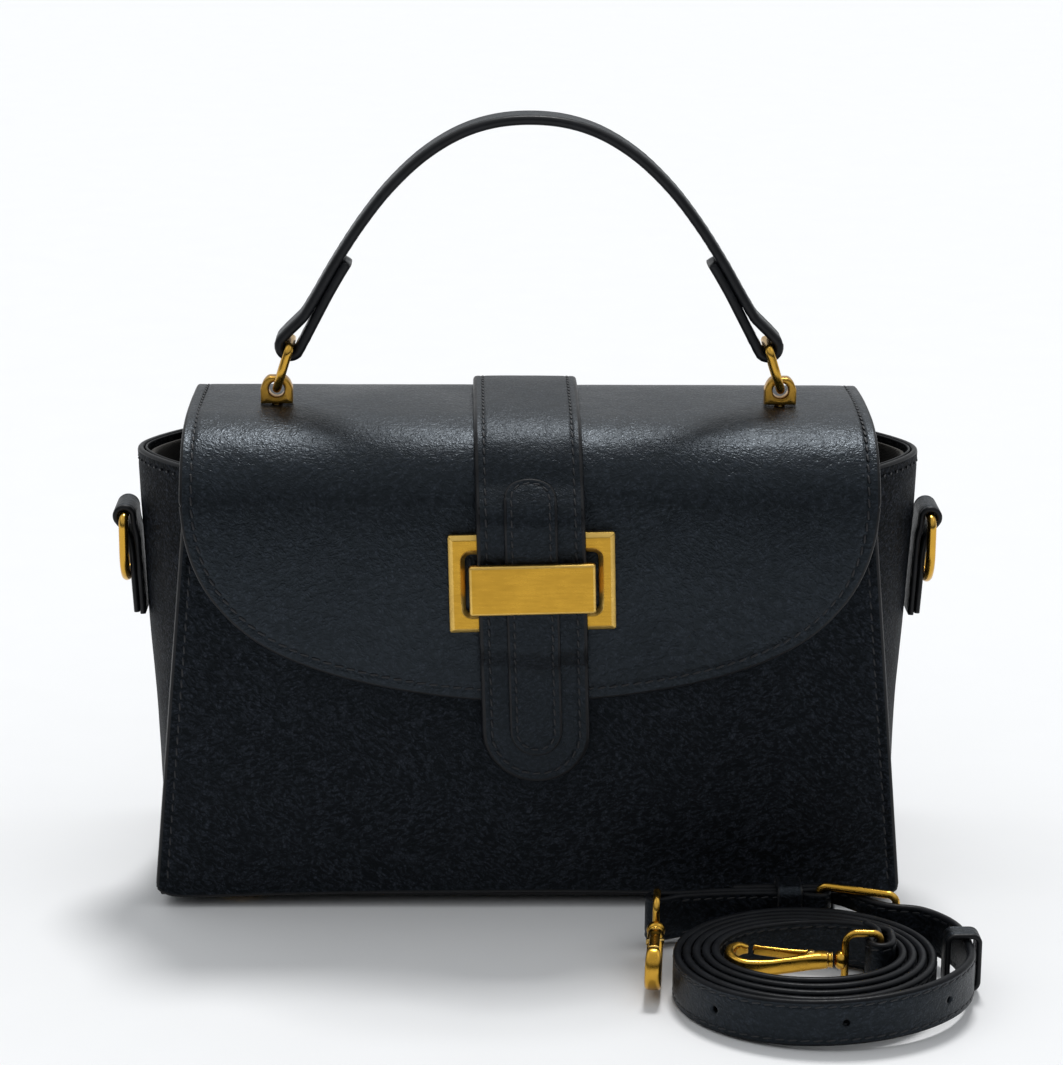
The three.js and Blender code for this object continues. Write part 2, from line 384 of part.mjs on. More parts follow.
// handle strap: one flat strap, each end turned round its ring and sewn back on itself
const HANDLE_OUT = [[0, 260.4], [12.5, 259.2], [24, 255.4], [36, 248.0], [47.5, 237.2], [57, 225.2], [66, 211.4], [74.5, 196.8], [80.6, 187.4]];
{
  const c = new THREE.CatmullRomCurve3([...HANDLE_OUT.slice(1).reverse().map(([x, z]) => V(-x, 0, z)), ...HANDLE_OUT.map(([x, z]) => V(x, 0, z))], false, 'centripetal');
  const N = 64, out = c.getSpacedPoints(N).map(p => [p.x, p.z]);
  const nIn = i => { const a = out[Math.max(i - 1, 0)], b = out[Math.min(i + 1, N)], L = Math.hypot(b[0] - a[0], b[1] - a[1]); return [(b[1] - a[1]) / L, -(b[0] - a[0]) / L]; };
  const off = (i, d) => { const n = nIn(i); return [out[i][0] + n[0] * d, out[i][1] + n[1] * d]; };
  const bx = RING_BAR.x, bz = RING_BAR.z, r0 = RING_WIRE_R + 0.35, r1 = r0 + HANDLE_T;
  const tailTop = 212, tailLow = 199;
  // right half, x > 0, from the apex down the outside, round the loop and back up inside
  const half = [];
  for (let i = N / 2; i <= N; i++) half.push(out[i]);
  const trimmed = half.filter(([x, z]) => z > bz + 7);
  const loop = arc(bx, bz, r1, 0.45, -Math.PI + 0.42, 12);
  const innerSide = [];
  for (let i = N; i >= N / 2; i--) { const [x, z] = off(i, 2 * HANDLE_T); if (z > tailLow - 4 && out[i][1] < tailTop + 1) innerSide.push([x, z]); }
  const innerMain = [];
  for (let i = N; i > N / 2; i--) if (out[i][1] > tailTop + 2.5) innerMain.push(off(i, HANDLE_T));
  const apexIn = off(N / 2, HANDLE_T);
  const right = [...trimmed, ...loop, ...innerSide, ...innerMain];
  const left = right.map(([x, z]) => [-x, z]).reverse();
  const contour = [...right, [0, apexIn[1]], ...left.slice(0, -1)];
  // opening of each loop: round at the ring, pointed where the layers meet
  const tip = [73.9, 194.4];
  const d = Math.hypot(tip[0] - bx, tip[1] - bz), dir = Math.atan2(tip[1] - bz, tip[0] - bx), spread = Math.acos(r0 / d);
  const drop = [tip, ...arc(bx, bz, r0, dir - spread, dir + spread - 2 * Math.PI, 14)];
  const g = prism(contour, HANDLE_W, [drop.slice().reverse(), drop.map(([x, z]) => [-x, z])]).translate(0, 0, -HANDLE_W / 2).rotateX(Math.PI / 2);
  add('handle_strap', g, leather());
}

// ---------------------------------------------------------------- side rings and their tabs
function sideTab(side) {
  // leather tab folded over the ring's bar; its two layers hang down and are sewn to the gusset
  const xg = z => lerp(APEX, z) + 0.35;
  const bar = [xg(DRING_BAR_Z) + 5.0, DRING_BAR_Z], r = DRING_WIRE_R + 0.35, R = r + 2.1, lowZ2 = 89.5;
  const pts = [[xg(lowZ2), lowZ2], [xg(105), 105], [xg(117), 117], [bar[0] - R * 0.98, bar[1] - 2.5], ...arc(bar[0], bar[1], R, Math.PI, -0.75, 12), [xg(114) + 4.2, 114], [xg(105) + 3.9, 105], [xg(lowZ2 + 1.5) + 3.9, lowZ2 + 1.5], [xg(lowZ2) + 2.6, lowZ2 - 0.2]];
  const width = 17, g = prism(pts, width, [arc(bar[0], bar[1], r, 0, 2 * Math.PI * 11 / 12, 11)]).translate(0, 0, -width / 2).rotateX(Math.PI / 2);
  if (side > 0) return { g: geometryOf(solid(g)), bar };
  const m = new THREE.Matrix4().makeScale(-1, 1, 1), h = g.clone().applyMatrix4(m);
  if (h.index) { const ix = Array.from(h.index.array); for (let i = 0; i < ix.length; i += 3) [ix[i + 1], ix[i + 2]] = [ix[i + 2], ix[i + 1]]; h.setIndex(ix); }
  else { const p = h.attributes.position; for (let i = 0; i < p.count; i += 3) for (const c of [0, 1, 2]) { const a = p.getComponent(i + 1, c), b = p.getComponent(i + 2, c); p.setComponent(i + 1, c, b); p.setComponent(i + 2, c, a); } }
  return { g: geometryOf(solid(h)), bar };
}
const tabR = sideTab(1), tabL = sideTab(-1);
add('dring_tab_left', tabL.g, leather());
add('dring_tab_right', tabR.g, leather());
function dRing(side) { // hangs from its bar in the fold of the tab
  const [bx, bz] = tabR.bar, hw = 11.2, H = 22.6, tilt = 0.0, pts = [], rc = 3.0;
  // in the ring's own plane: y across, h down from the bar
  const loop = [...arc(hw - rc, rc, rc, -Math.PI / 2, 0, 4), ...arc(0, H - hw, hw, 0, Math.PI, 18), ...arc(-hw + rc, rc, rc, Math.PI, 1.5 * Math.PI, 4)];
  for (const [y, h] of loop) pts.push(V(side * (bx + Math.sin(tilt) * h), y, bz - h));
  return sweep(planarFrames(pts, V(1, 0, 0), true), circle(DRING_WIRE_R, 10), true);
}
add('dring_left', dRing(-1), brass());
add('dring_right', dRing(1), brass());

// ---------------------------------------------------------------- shoulder strap, coiled on edge
const XR = [[-0.2, 139.0], [0, 137.4], [1, 125.6], [2, 122.6], [3, 119.6], [4, 116.6], [5, 113.6]];
const YF = [[0, -166.5], [0.25, -165.2], [1.25, -160], [2.25, -155], [3.25, -150], [4.25, -145]];
const XL = [[0, 44.4], [0.5, 45.4], [1.5, 48.5], [2.5, 51.6], [3.5, 54.7], [4.5, 57.8]];
const YB = [[0, -86.0], [0.75, -87.4], [1.75, -90.4], [2.75, -93.4], [3.75, -96.4], [4.75, -99.4]];
function coilPoint(t) {
  const xr = lerp(XR, t), yf = lerp(YF, t), xl = lerp(XL, t), yb = lerp(YB, t), phi = -2 * Math.PI * t;
  return [(xr + xl) / 2 + (xr - xl) / 2 * Math.cos(phi), (yf + yb) / 2 + (yb - yf) / 2 * Math.sin(phi)];
}
const BUCKLE_L = [94.5, -79.6], BUCKLE_R = [118.5, -88.6];
const be = (() => { const dx = BUCKLE_R[0] - BUCKLE_L[0], dy = BUCKLE_R[1] - BUCKLE_L[1], L = Math.hypot(dx, dy); return { L, e: [dx / L, dy / L], n: [dy / L, -dx / L] }; })();
const atBuckle = (f, o) => [BUCKLE_L[0] + be.e[0] * f * be.L + be.n[0] * o, BUCKLE_L[1] + be.e[1] * f * be.L + be.n[1] * o];
const LOOP_A_WIRE = [109.7, -120.7]; // far wire of the inner hook's loop
const carryPts = (() => {
  const p = [[66, -74.9], [72, -74.4], [79, -74.1], [86, -74.1], atBuckle(0, -5.7), atBuckle(0.22, -5.2), atBuckle(0.5, -1.6), atBuckle(0.78, 2.2), atBuckle(1.0, 3.1), [125.2, -93.6], [131.6, -100.0], [135.8, -109.0]];
  for (let t = 0.02; t < 4.86; t += 1 / 26) p.push(coilPoint(t));
  p.push([113.2, -111.6], [113.6, -116.4], [113.3, -121.0], [111.6, -124.3], [108.4, -124.6], [106.2, -121.4], [107.4, -117.2], [109.7, -113.2], [108.6, -108.6], [106.2, -105.2]);
  return p;
})();
const carryCurve = new THREE.CatmullRomCurve3(carryPts.map(([x, y]) => V(x, y, 0)), false, 'centripetal');
carryCurve.arcLengthDivisions = 3000; carryCurve.updateArcLengths();
const CARRY_LEN = carryCurve.getLength();
const carryHeight = s => { // lifted by the buckle and the loose keeper, on the floor round the coil, lifted again at the hook
  const a = 1 - step(s, 125, 215), b = step(s, CARRY_LEN - 80, CARRY_LEN - 34);
  return CARRY_W / 2 + 0.05 + (CARRY_Z - CARRY_W / 2 - 0.05) * Math.max(a, b);
};
{
  const n = 220, frames = [];
  for (let i = 0; i <= n; i++) {
    const s = CARRY_LEN * i / n, p = carryCurve.getPointAt(i / n), t = carryCurve.getTangentAt(i / n);
    frames.push({ p: V(p.x, p.y, carryHeight(s)), a: V(t.y, -t.x, 0).normalize(), b: V(0, 0, 1) });
  }
  let m = solid(sweep(frames, rect(CARRY_T, CARRY_W)));
  const [hx, hy] = atBuckle(0.46, -2.0); // slot for the prong
  m = m.subtract(solid(new THREE.BoxGeometry(16.5, 11, 3.2), placed(hx, hy, CARRY_Z, 0, 0, Math.atan2(be.e[1], be.e[0]))));
  const sNear = (x, y) => { let best = 0, d = 1e9; for (let s = 100; s < 330; s += 1) { const q = carryCurve.getPointAt(s / CARRY_LEN), e = Math.hypot(q.x - x, q.y - y); if (e < d) { d = e; best = s; } } return best; };
  for (const s of [sNear(58.5, -150), sNear(94, -166), sNear(128, -152)]) { // punched adjusting holes
    const p = carryCurve.getPointAt(s / CARRY_LEN), t = carryCurve.getTangentAt(s / CARRY_LEN);
    m = m.subtract(solid(new THREE.CylinderGeometry(1.1, 1.1, 8, 8), placed(p.x, p.y, carryHeight(s), 0, 0, Math.atan2(t.y, t.x))));
  }
  add('shoulder_strap', geometryOf(m), leather());
}
// short end: folded round the outer hook's loop and round the buckle's bar, sewn flat between
const LOOP_B_WIRE = [41.4, -83.2];
{
  const c = new THREE.CatmullRomCurve3([V(LOOP_B_WIRE[0], LOOP_B_WIRE[1], 0), V(50, -81.2, 0), V(64, -79.4, 0), V(80, -78.7, 0), V(BUCKLE_L[0], BUCKLE_L[1], 0)], false, 'centripetal');
  const n = 30, L = c.getLength(), up = [], down = [], Rw = 4.0, mid = 2.45;
  for (let i = 0; i <= n; i++) {
    const s = L * i / n, p = c.getPointAt(i / n), t = c.getTangentAt(i / n);
    const h = mid + (Rw - mid) * Math.max(1 - step(s, 0, 9), step(s, L - 9, L));
    up.push([p.x - t.y * h, p.y + t.x * h]); down.push([p.x + t.y * h, p.y - t.x * h]);
  }
  const t0 = c.getTangentAt(0), t1 = c.getTangentAt(1), a0 = Math.atan2(t0.y, t0.x), a1 = Math.atan2(t1.y, t1.x);
  const pts = [...down, ...arc(BUCKLE_L[0], BUCKLE_L[1], Rw, a1 - Math.PI / 2 + 0.25, a1 + Math.PI / 2 - 0.25, 7), ...up.reverse(), ...arc(LOOP_B_WIRE[0], LOOP_B_WIRE[1], Rw, a0 + Math.PI / 2 + 0.25, a0 + 1.5 * Math.PI - 0.25, 7)];
  const hole = ([x, y]) => arc(x, y, 1.8, 0, 2 * Math.PI * 11 / 12, 11);
  const g = prism(pts, CARRY_W, [hole(BUCKLE_L), hole(LOOP_B_WIRE)]).translate(0, 0, CARRY_Z - CARRY_W / 2);
  const notch = solid(new THREE.BoxGeometry(9.4, 14, 4.2), placed(BUCKLE_L[0] + 1.6, BUCKLE_L[1] - 0.6, CARRY_Z, 0, 0, a1));
  add('strap_short', geometryOf(solid(g).subtract(notch)), leather());
}
// buckle: rounded rectangular wire frame standing on edge, with its prong
const hgt = 9.1, BW = 1.3, Z = CARRY_Z;
{
  const pts = [], rc = 2.5;
  for (const [u, h] of [...arc(be.L - rc, hgt - rc, rc, 0, Math.PI / 2, 5), ...arc(rc - 0.0, hgt - rc, rc, Math.PI / 2, Math.PI, 5), ...arc(rc, -hgt + rc, rc, Math.PI, 1.5 * Math.PI, 5), ...arc(be.L - rc, -hgt + rc, rc, 1.5 * Math.PI, 2 * Math.PI, 5)])
    pts.push(V(BUCKLE_L[0] + be.e[0] * u, BUCKLE_L[1] + be.e[1] * u, Z + h));
  add('buckle_frame', sweep(planarFrames(pts, V(be.n[0], be.n[1], 0), true), circle(BW, 10), true), brass());
}
{
  const hub = solid(prism(arc(BUCKLE_L[0], BUCKLE_L[1], 2.7, 0, 2 * Math.PI * 15 / 16, 15), 3.0, [arc(BUCKLE_L[0], BUCKLE_L[1], BW + 0.25, 0, 2 * Math.PI * 11 / 12, 11)]).translate(0, 0, Z - 1.5));
  const [ax, ay] = atBuckle(0.09, -0.35), [cx, cy] = atBuckle(1.09, -2.75);
  const path = [V(ax, ay, Z), V((ax + cx) / 2, (ay + cy) / 2, Z), V(cx, cy, Z)];
  const rod = solid(sweep(planarFrames(path, V(0, 0, 1)), circle(0.95, 8)));
  add('buckle_prong', geometryOf(hub.add(rod)), brass());
}
// keepers: leather bands round the strap
function keeper(cx, cy, angle, inW, inH, t, width, zc) {
  const r = 0.5, g = prism(roundedRect(inW + 2 * t, inH + 2 * t, 2.0, 4), width, [roundedRect(inW, inH, r, 2)]).translate(0, 0, -width / 2);
  // section: x across the strap's thickness, y up; band width runs along the strap
  g.rotateX(Math.PI / 2); // section y -> z, width -> -y
  g.applyMatrix4(placed(cx, cy, zc, 0, 0, angle));
  return geometryOf(solid(g));
}
add('strap_keeper_fixed', keeper(84.6, -77.35, Math.PI / 2, 10.5, 16.0, 1.9, 8.5, CARRY_Z), leather());
add('strap_keeper_sliding', keeper(135.6, -119.5, 0.03, 8.0, 15.8, 1.9, 8.0, CARRY_Z), leather());

// snap hooks: loop with a swivel ball, hook body, sprung gate
function snapHook(name, origin, dir, up) {
  const u = dir.clone().normalize(), w = up.clone().addScaledVector(u, -up.dot(u)).normalize(), v = w.clone().cross(u); // v lateral in the plane of the hook body
  const P = (a, b, c) => origin.clone().addScaledVector(u, a).addScaledVector(v, b).addScaledVector(w, c);
  const M = new THREE.Matrix4().makeBasis(u, v, w).setPosition(origin);
  return { u, v, w, P, M };
}
function hookParts(tag, origin, dir, loopNormal, bodyNormal) {
  // loop: its plane holds the hook's axis; loopNormal is square to it
  const u = dir.clone().normalize(), ln = loopNormal.clone().normalize(), lv = ln.clone().cross(u).normalize();
  const at = (a, b, q = lv) => origin.clone().addScaledVector(u, a).addScaledVector(q, b);
  const pts = [];
  for (const [a, b] of [...arc(-3.6 - 3.6, 9.1 - 3.6, 3.6, 0, Math.PI / 2, 5), ...arc(-14.6 + 2.4, 9.1 - 2.4, 2.4, Math.PI / 2, Math.PI, 5), ...arc(-14.6 + 2.4, -9.1 + 2.4, 2.4, Math.PI, 1.5 * Math.PI, 5), ...arc(-3.6 - 3.6, -9.1 + 3.6, 3.6, 1.5 * Math.PI, 2 * Math.PI, 5)])
    pts.push(at(a, b));
  const wire = solid(sweep(planarFrames(pts, ln, true), circle(HOOK_WIRE_R, 8), true));
  const q = new THREE.Quaternion().setFromUnitVectors(V(0, 0, 1), u);
  const onAxis = g => { g.applyMatrix4(new THREE.Matrix4().compose(origin, q, V(1, 1, 1))); return solid(g); };
  const ball = onAxis(lathe([[0, -4.6], [1.6, -4.4], [2.9, -3.2], [3.1, -2.2], [2.6, -0.9], [1.5, -0.25], [0, -0.25]], 18));
  add(`hook_${tag}_eye`, geometryOf(wire.add(ball)), brass());
  // body in its own plane: v2 lateral, bn normal
  const bn = bodyNormal.clone().addScaledVector(u, -bodyNormal.dot(u)).normalize(), v2 = bn.clone().cross(u).normalize();
  const M = new THREE.Matrix4().makeBasis(u, v2, bn).setPosition(origin);
  const T = 5.4;
  // hook: a thick spine on one side, round the tip, nose on the gate side; collar at the swivel
  const outer = [[1.2, -2.6], [6, -2.9], [6, -0.7], [9.5, 0.8], [16, 2.9], [23, 4.3], [28, 3.6], [31.3, 0.2], [31.2, -3.2], [28.4, -5.2], [26.6, -4.9], [25.9, -7.2], [30.0, -7.9], [33.6, -4.6], [34.4, -0.4], [32.6, 4.2], [28.6, 6.8], [22.6, 7.2], [14.6, 5.5], [6, 2.9], [1.2, 2.6]];
  const body = prism(outer, T).translate(0, 0, -T / 2);
  let m = solid(body, M);
  m = m.add(onAxis(lathe([[0, 0.25], [2.9, 0.25], [2.3, 0.9], [2.3, 1.6], [3.0, 2.3], [0, 2.3]], 16)));
  add(`hook_${tag}_body`, geometryOf(m), brass());
  const gate = prism([[6.4, -2.9], [8.2, -1.9], [24.9, -5.0], [25.5, -6.9], [24.6, -7.2], [7.0, -3.9]], 3.4).translate(0, 0, -1.7);
  add(`hook_${tag}_gate`, geometryOf(solid(gate, M)), brass());
  const pivot = origin.clone().addScaledVector(u, 7.4).addScaledVector(v2, -2.9);
  return { u, bn, pivot };
}
export const HOOKS = {};
const dirA = V(-0.998, 0.04, 0).normalize();
const originA = V(LOOP_A_WIRE[0], LOOP_A_WIRE[1], CARRY_Z).addScaledVector(dirA, 14.6);
HOOKS.a = hookParts('a', originA, dirA, V(0, 0, 1).cross(dirA).normalize(), V(0.02, -0.12, 0.99));
const dirB = V(-0.08, -0.99, -0.03).normalize();
const originB = V(LOOP_B_WIRE[0], LOOP_B_WIRE[1], CARRY_Z + 0.35).addScaledVector(dirB, 14.6);
HOOKS.b = hookParts('b', originB, dirB, V(0, 0, 1).cross(dirB).normalize(), V(1, -0.08, 0));

export const FACTS = { PROFILE_LEN, STRAP_LEN, CARRY_LEN, RING_C, RING_BAR, tabBar: tabR.bar, BAR, strapFaceAtLock, LUG_BASE, originA, originB, BUCKLE_L, BUCKLE_R };
export default bag;
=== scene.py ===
import math
import bmesh
import bpy
import numpy as np
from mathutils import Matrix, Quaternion, Vector, noise


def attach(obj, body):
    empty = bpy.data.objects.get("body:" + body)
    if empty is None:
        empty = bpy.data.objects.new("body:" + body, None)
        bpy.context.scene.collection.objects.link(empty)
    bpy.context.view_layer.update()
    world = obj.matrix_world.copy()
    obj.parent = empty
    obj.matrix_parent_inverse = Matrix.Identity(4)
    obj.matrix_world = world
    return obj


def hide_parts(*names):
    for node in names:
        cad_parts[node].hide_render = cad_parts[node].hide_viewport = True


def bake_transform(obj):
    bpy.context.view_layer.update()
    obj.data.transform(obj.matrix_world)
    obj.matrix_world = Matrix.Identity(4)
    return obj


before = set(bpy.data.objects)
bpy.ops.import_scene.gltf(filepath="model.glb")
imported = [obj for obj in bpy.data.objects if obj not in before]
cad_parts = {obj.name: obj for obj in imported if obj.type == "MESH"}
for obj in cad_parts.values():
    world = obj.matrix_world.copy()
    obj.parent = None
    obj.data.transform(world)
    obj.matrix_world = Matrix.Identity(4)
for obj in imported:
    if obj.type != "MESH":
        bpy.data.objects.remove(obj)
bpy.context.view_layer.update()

MM = 0.001
CY = 6.0                      # the model's y shift, mm, as in the solid parts
scene = bpy.context.scene
rad = math.radians

# ------------------------------------------------------------------ camera
AZ, EL, DIST, ROLL = rad(-1.07), rad(15.33), 1.0988, rad(0.40)
TARGET = Vector((0.00068, -0.024, 0.12519))
back = Vector((math.sin(AZ) * math.cos(EL), -math.cos(AZ) * math.cos(EL), math.sin(EL)))
cam_data = bpy.data.cameras.new("camera")
cam_data.lens, cam_data.sensor_width, cam_data.sensor_fit = 111.98, 36.0, "AUTO"
cam_data.clip_start, cam_data.clip_end = 0.01, 50
camera = bpy.data.objects.new("camera", cam_data)
camera.location = TARGET + back * DIST
camera.rotation_euler = ((-back).to_track_quat("-Z", "Y") @ Quaternion((0, 0, 1), ROLL)).to_euler()
scene.collection.objects.link(camera)
scene.camera = camera

# ------------------------------------------------------------------ sizes shared with the solid parts, mm
FOOT_H, BASE_HALF_W, SIDE_TAPER, BASE_HALF_D, TOP_HALF_D, BODY_TOP = 3.0, 125, 0.085, 50, 40, 149.5
FRONT_TOP, PANEL_T, GUSSET_T, RIM_Z, GAP = 143.5, 2.4, 2.2, 147.5, 0.3
FLAP_T, FLAP_HALF_W = 2.0, 114.5
STRAP_W, STRAP_T, OVERLAY_W, OVERLAY_T, OVERLAY_GAP = 35, 2.6, 17, 1.3, 0.58
LOCK_X, LOCK_Z, LOCK_W, LOCK_H, LOCK_T, LOCK_TILT = 0.6, 114.4, 54.5, 33, 2.8, rad(1.5)
LUG_X, LUG_EYE_Z, LUG_EYE_R = 84.8, 167.2, 2.65
RING_WIRE_R, RING_R, RING_LEAN, RING_TOP = 1.5, 9.0, rad(17.3), 7.2
HANDLE_W, HANDLE_T = 14.0, 3.2
DRING_BAR_Z, DRING_WIRE_R = 124.5, 1.6
CARRY_W, CARRY_T, CARRY_Z = 15, 2.6, 10.45


# ------------------------------------------------------------------ materials
class Nodes:
    def __init__(self, name):
        self.m = bpy.data.materials.new(name)
        self.m.use_nodes = True
        self.t = self.m.node_tree
        self.b = self.t.nodes["Principled BSDF"]
        self.co = self.t.nodes.new("ShaderNodeTexCoord").outputs["Object"]

    def add(self, kind, **kw):
        n = self.t.nodes.new("ShaderNode" + kind)
        for k, v in kw.items():
            setattr(n, k, v)
        return n

    def link(self, a, b):
        self.t.links.new(a, b)

    def put(self, socket, v):
        if hasattr(v, "links") or hasattr(v, "is_linked"):
            self.link(v, socket)
        else:
            socket.default_value = v

    def math(self, op, a, b=None, c=None, clamp=False):
        n = self.add("Math", operation=op, use_clamp=clamp)
        for i, v in enumerate((a, b, c)):
            if v is not None:
                self.put(n.inputs[i], v)
        return n.outputs[0]

    def noise(self, scale, detail=2.0, rough=0.5, co=None):
        n = self.add("TexNoise")
        self.link(co or self.co, n.inputs["Vector"])
        n.inputs["Scale"].default_value, n.inputs["Detail"].default_value, n.inputs["Roughness"].default_value = scale, detail, rough
        return n

    def voronoi(self, scale, feature="DISTANCE_TO_EDGE", co=None, rnd=1.0):
        n = self.add("TexVoronoi", feature=feature)
        self.link(co or self.co, n.inputs["Vector"])
        n.inputs["Scale"].default_value, n.inputs["Randomness"].default_value = scale, rnd
        return n.outputs["Distance"]

    def rng(self, v, a, b, c, d, smooth=False):
        n = self.add("MapRange", interpolation_type="SMOOTHSTEP" if smooth else "LINEAR")
        self.link(v, n.inputs["Value"])
        for k, x in zip(("From Min", "From Max", "To Min", "To Max"), (a, b, c, d)):
            n.inputs[k].default_value = x
        return n.outputs["Result"]

    def mix(self, f, a, b):
        n = self.add("Mix", data_type="RGBA")
        self.put(n.inputs[0], f)
        for s, v in ((6, a), (7, b)):
            self.put(n.inputs[s], v if not isinstance(v, tuple) else (*v, 1.0))
        return n.outputs[2]

    def stretched(self, scale):
        n = self.add("Mapping")
        self.link(self.co, n.inputs["Vector"])
        n.inputs["Scale"].default_value = scale
        return n.outputs["Vector"]

    def warped(self, scale, amount):
        nz = self.noise(scale, 2.0)
        sub = self.add("VectorMath", operation="SUBTRACT")
        self.link(nz.outputs["Color"], sub.inputs[0])
        sub.inputs[1].default_value = (0.5, 0.5, 0.5)
        sc = self.add("VectorMath", operation="SCALE")
        self.link(sub.outputs[0], sc.inputs[0])
        sc.inputs["Scale"].default_value = amount
        ad = self.add("VectorMath", operation="ADD")
        self.link(self.co, ad.inputs[0])
        self.link(sc.outputs[0], ad.inputs[1])
        return ad.outputs[0]

    def bump(self, height, strength, distance, normal=None):
        n = self.add("Bump")
        n.inputs["Strength"].default_value, n.inputs["Distance"].default_value = strength, distance
        self.link(height, n.inputs["Height"])
        if normal is not None:
            self.link(normal, n.inputs["Normal"])
        return n.outputs["Normal"]

    def finish(self, **kw):
        for k, v in kw.items():
            self.put(self.b.inputs[k.replace("_", " ")], v)
        return self.m


def leather(name, base=(0.0036, 0.0042, 0.0056), grain=1.0, cell=740, rough=0.345, wear=0.010, spec=0.15):
    n = Nodes(name)
    w = n.warped(300, 0.0026)
    big = n.noise(26, 3.0, 0.55).outputs["Fac"]
    lays = []
    for angle in (-0.62, 0.30):          # the wrinkles run one way in some patches and another way in others
        turn = n.add("VectorRotate", rotation_type="AXIS_ANGLE")
        n.link(w, turn.inputs["Vector"])
        turn.inputs["Axis"].default_value = (0, 1, 0)
        turn.inputs["Angle"].default_value = angle
        mp = n.add("Mapping")
        n.link(turn.outputs["Vector"], mp.inputs["Vector"])
        mp.inputs["Scale"].default_value = (0.78, 1.0, 1.60)
        lays.append(mp.outputs["Vector"])
    patch = n.rng(n.noise(24, 2.0).outputs["Fac"], 0.42, 0.58, 0.0, 1.0, True)
    both = n.add("Mix", data_type="FLOAT")
    n.link(patch, both.inputs[0])
    for i_, co_ in enumerate(lays):
        n.link(n.noise(cell * 0.86, 2.5, 0.55, co=co_).outputs["Fac"], both.inputs[2 + i_])
    wr = both.outputs[0]
    cells = n.rng(n.voronoi(cell * 1.25, co=w), 0.0, 0.40, 0.0, 1.0, True)
    fine = n.rng(n.voronoi(cell * 2.1, co=w), 0.0, 0.40, 0.0, 1.0, True)
    crease = n.noise(95, 4.0, 0.6, co=n.warped(50, 0.012)).outputs["Fac"]
    long = n.rng(n.math("ABSOLUTE", n.math("SUBTRACT", crease, 0.5)), 0.0, 0.05, 0.0, 1.0, True)
    h = n.math("ADD", n.math("MULTIPLY", cells, 0.050), n.math("MULTIPLY", fine, 0.008))
    h = n.math("ADD", h, n.math("MULTIPLY", wr, 0.29))
    h = n.math("ADD", h, n.math("MULTIPLY", long, 0.022))
    pull = n.noise(46, 2.0, 0.5).outputs["Fac"]
    nrm = n.bump(h, 1.0, 0.001 * grain, n.bump(pull, 0.5, 0.0014))
    point = n.add("NewGeometry").outputs["Pointiness"]
    edge = n.rng(point, 0.53, 0.62, 0.0, 1.0, True)
    # painted light in the grain: painted highlight on the ridges and painted shade in the grooves and creases, from a
    # tenth to six and a half times the base colour
    ridge_light_groove_shade = n.math("MULTIPLY", n.rng(wr, 0.40, 0.63, 0.0, 1.0, True), n.rng(cells, 0.0, 1.0, 0.35, 1.0))
    ridge_light_groove_shade = n.math("MULTIPLY", ridge_light_groove_shade, n.rng(long, 0.0, 1.0, 0.55, 1.0))
    tone = n.mix(ridge_light_groove_shade, tuple(c * 0.10 for c in base), tuple(c * 6.5 for c in base))
    tone = n.mix(n.math("MULTIPLY", edge, 0.5), tone, (base[0] + wear, base[1] + wear, base[2] + wear))
    r = n.math("ADD", n.rng(big, 0.3, 0.7, rough - 0.04, rough + 0.06), n.math("MULTIPLY", n.math("SUBTRACT", 1.0, cells), 0.10))
    return n.finish(Base_Color=tone, Roughness=r, Normal=nrm, Specular_IOR_Level=spec, Specular_Tint=(0.70, 0.85, 1.0, 1.0))


def edge_paint(name, base=(0.0060, 0.0066, 0.0082), spec=0.24):
    n = Nodes(name)
    nz = n.noise(900, 3.0).outputs["Fac"]
    lines = n.noise(120, 2.0, 0.5).outputs["Fac"]
    tone = n.mix(n.rng(lines, 0.3, 0.7, 0.0, 1.0), tuple(c * 0.75 for c in base), tuple(c * 1.5 for c in base))
    return n.finish(Base_Color=tone, Roughness=n.rng(nz, 0.2, 0.8, 0.3, 0.5), Normal=n.bump(nz, 0.35, 0.00012), Specular_IOR_Level=spec)


def thread(name, base=(0.0050, 0.0055, 0.0068)):
    n = Nodes(name)
    tw = n.noise(2600, 1.0, 0.5, co=n.stretched((1.0, 1.0, 1.0))).outputs["Fac"]
    tone = n.mix(tw, tuple(c * 0.6 for c in base), tuple(c * 1.8 for c in base))
    return n.finish(Base_Color=tone, Roughness=n.rng(tw, 0.2, 0.8, 0.4, 0.6), Normal=n.bump(tw, 0.6, 0.0001), Specular_IOR_Level=0.45)


def brass(name, stretch=(150.0, 1700.0, 1700.0), tint=(0.58, 0.325, 0.040), dark=(0.24, 0.115, 0.012), rough=0.27, line=0.00003):
    n = Nodes(name)
    br = n.noise(1.0, 2.0, 0.6, co=n.stretched(stretch)).outputs["Fac"]
    patch = n.noise(95, 3.0, 0.6).outputs["Fac"]
    point = n.add("NewGeometry").outputs["Pointiness"]
    worn = n.rng(point, 0.52, 0.60, 0.0, 1.0, True)
    pit = n.rng(point, 0.40, 0.48, 1.0, 0.0, True)
    tone = n.mix(n.rng(patch, 0.35, 0.75, 0.0, 0.38), tint, tuple(0.5 * a + 0.5 * b for a, b in zip(tint, dark)))
    tone = n.mix(n.math("MULTIPLY", pit, 0.8), tone, dark)
    tone = n.mix(n.math("MULTIPLY", worn, 0.6), tone, (0.88, 0.62, 0.22))
    tone = n.mix(n.rng(br, 0.3, 0.7, 0.0, 0.10), tone, dark)
    r = n.math("ADD", n.rng(br, 0.25, 0.75, rough - 0.05, rough + 0.07), n.rng(patch, 0.4, 0.8, 0.0, 0.08))
    return n.finish(Base_Color=tone, Metallic=1.0, Roughness=r, Normal=n.bump(br, 0.5, line))


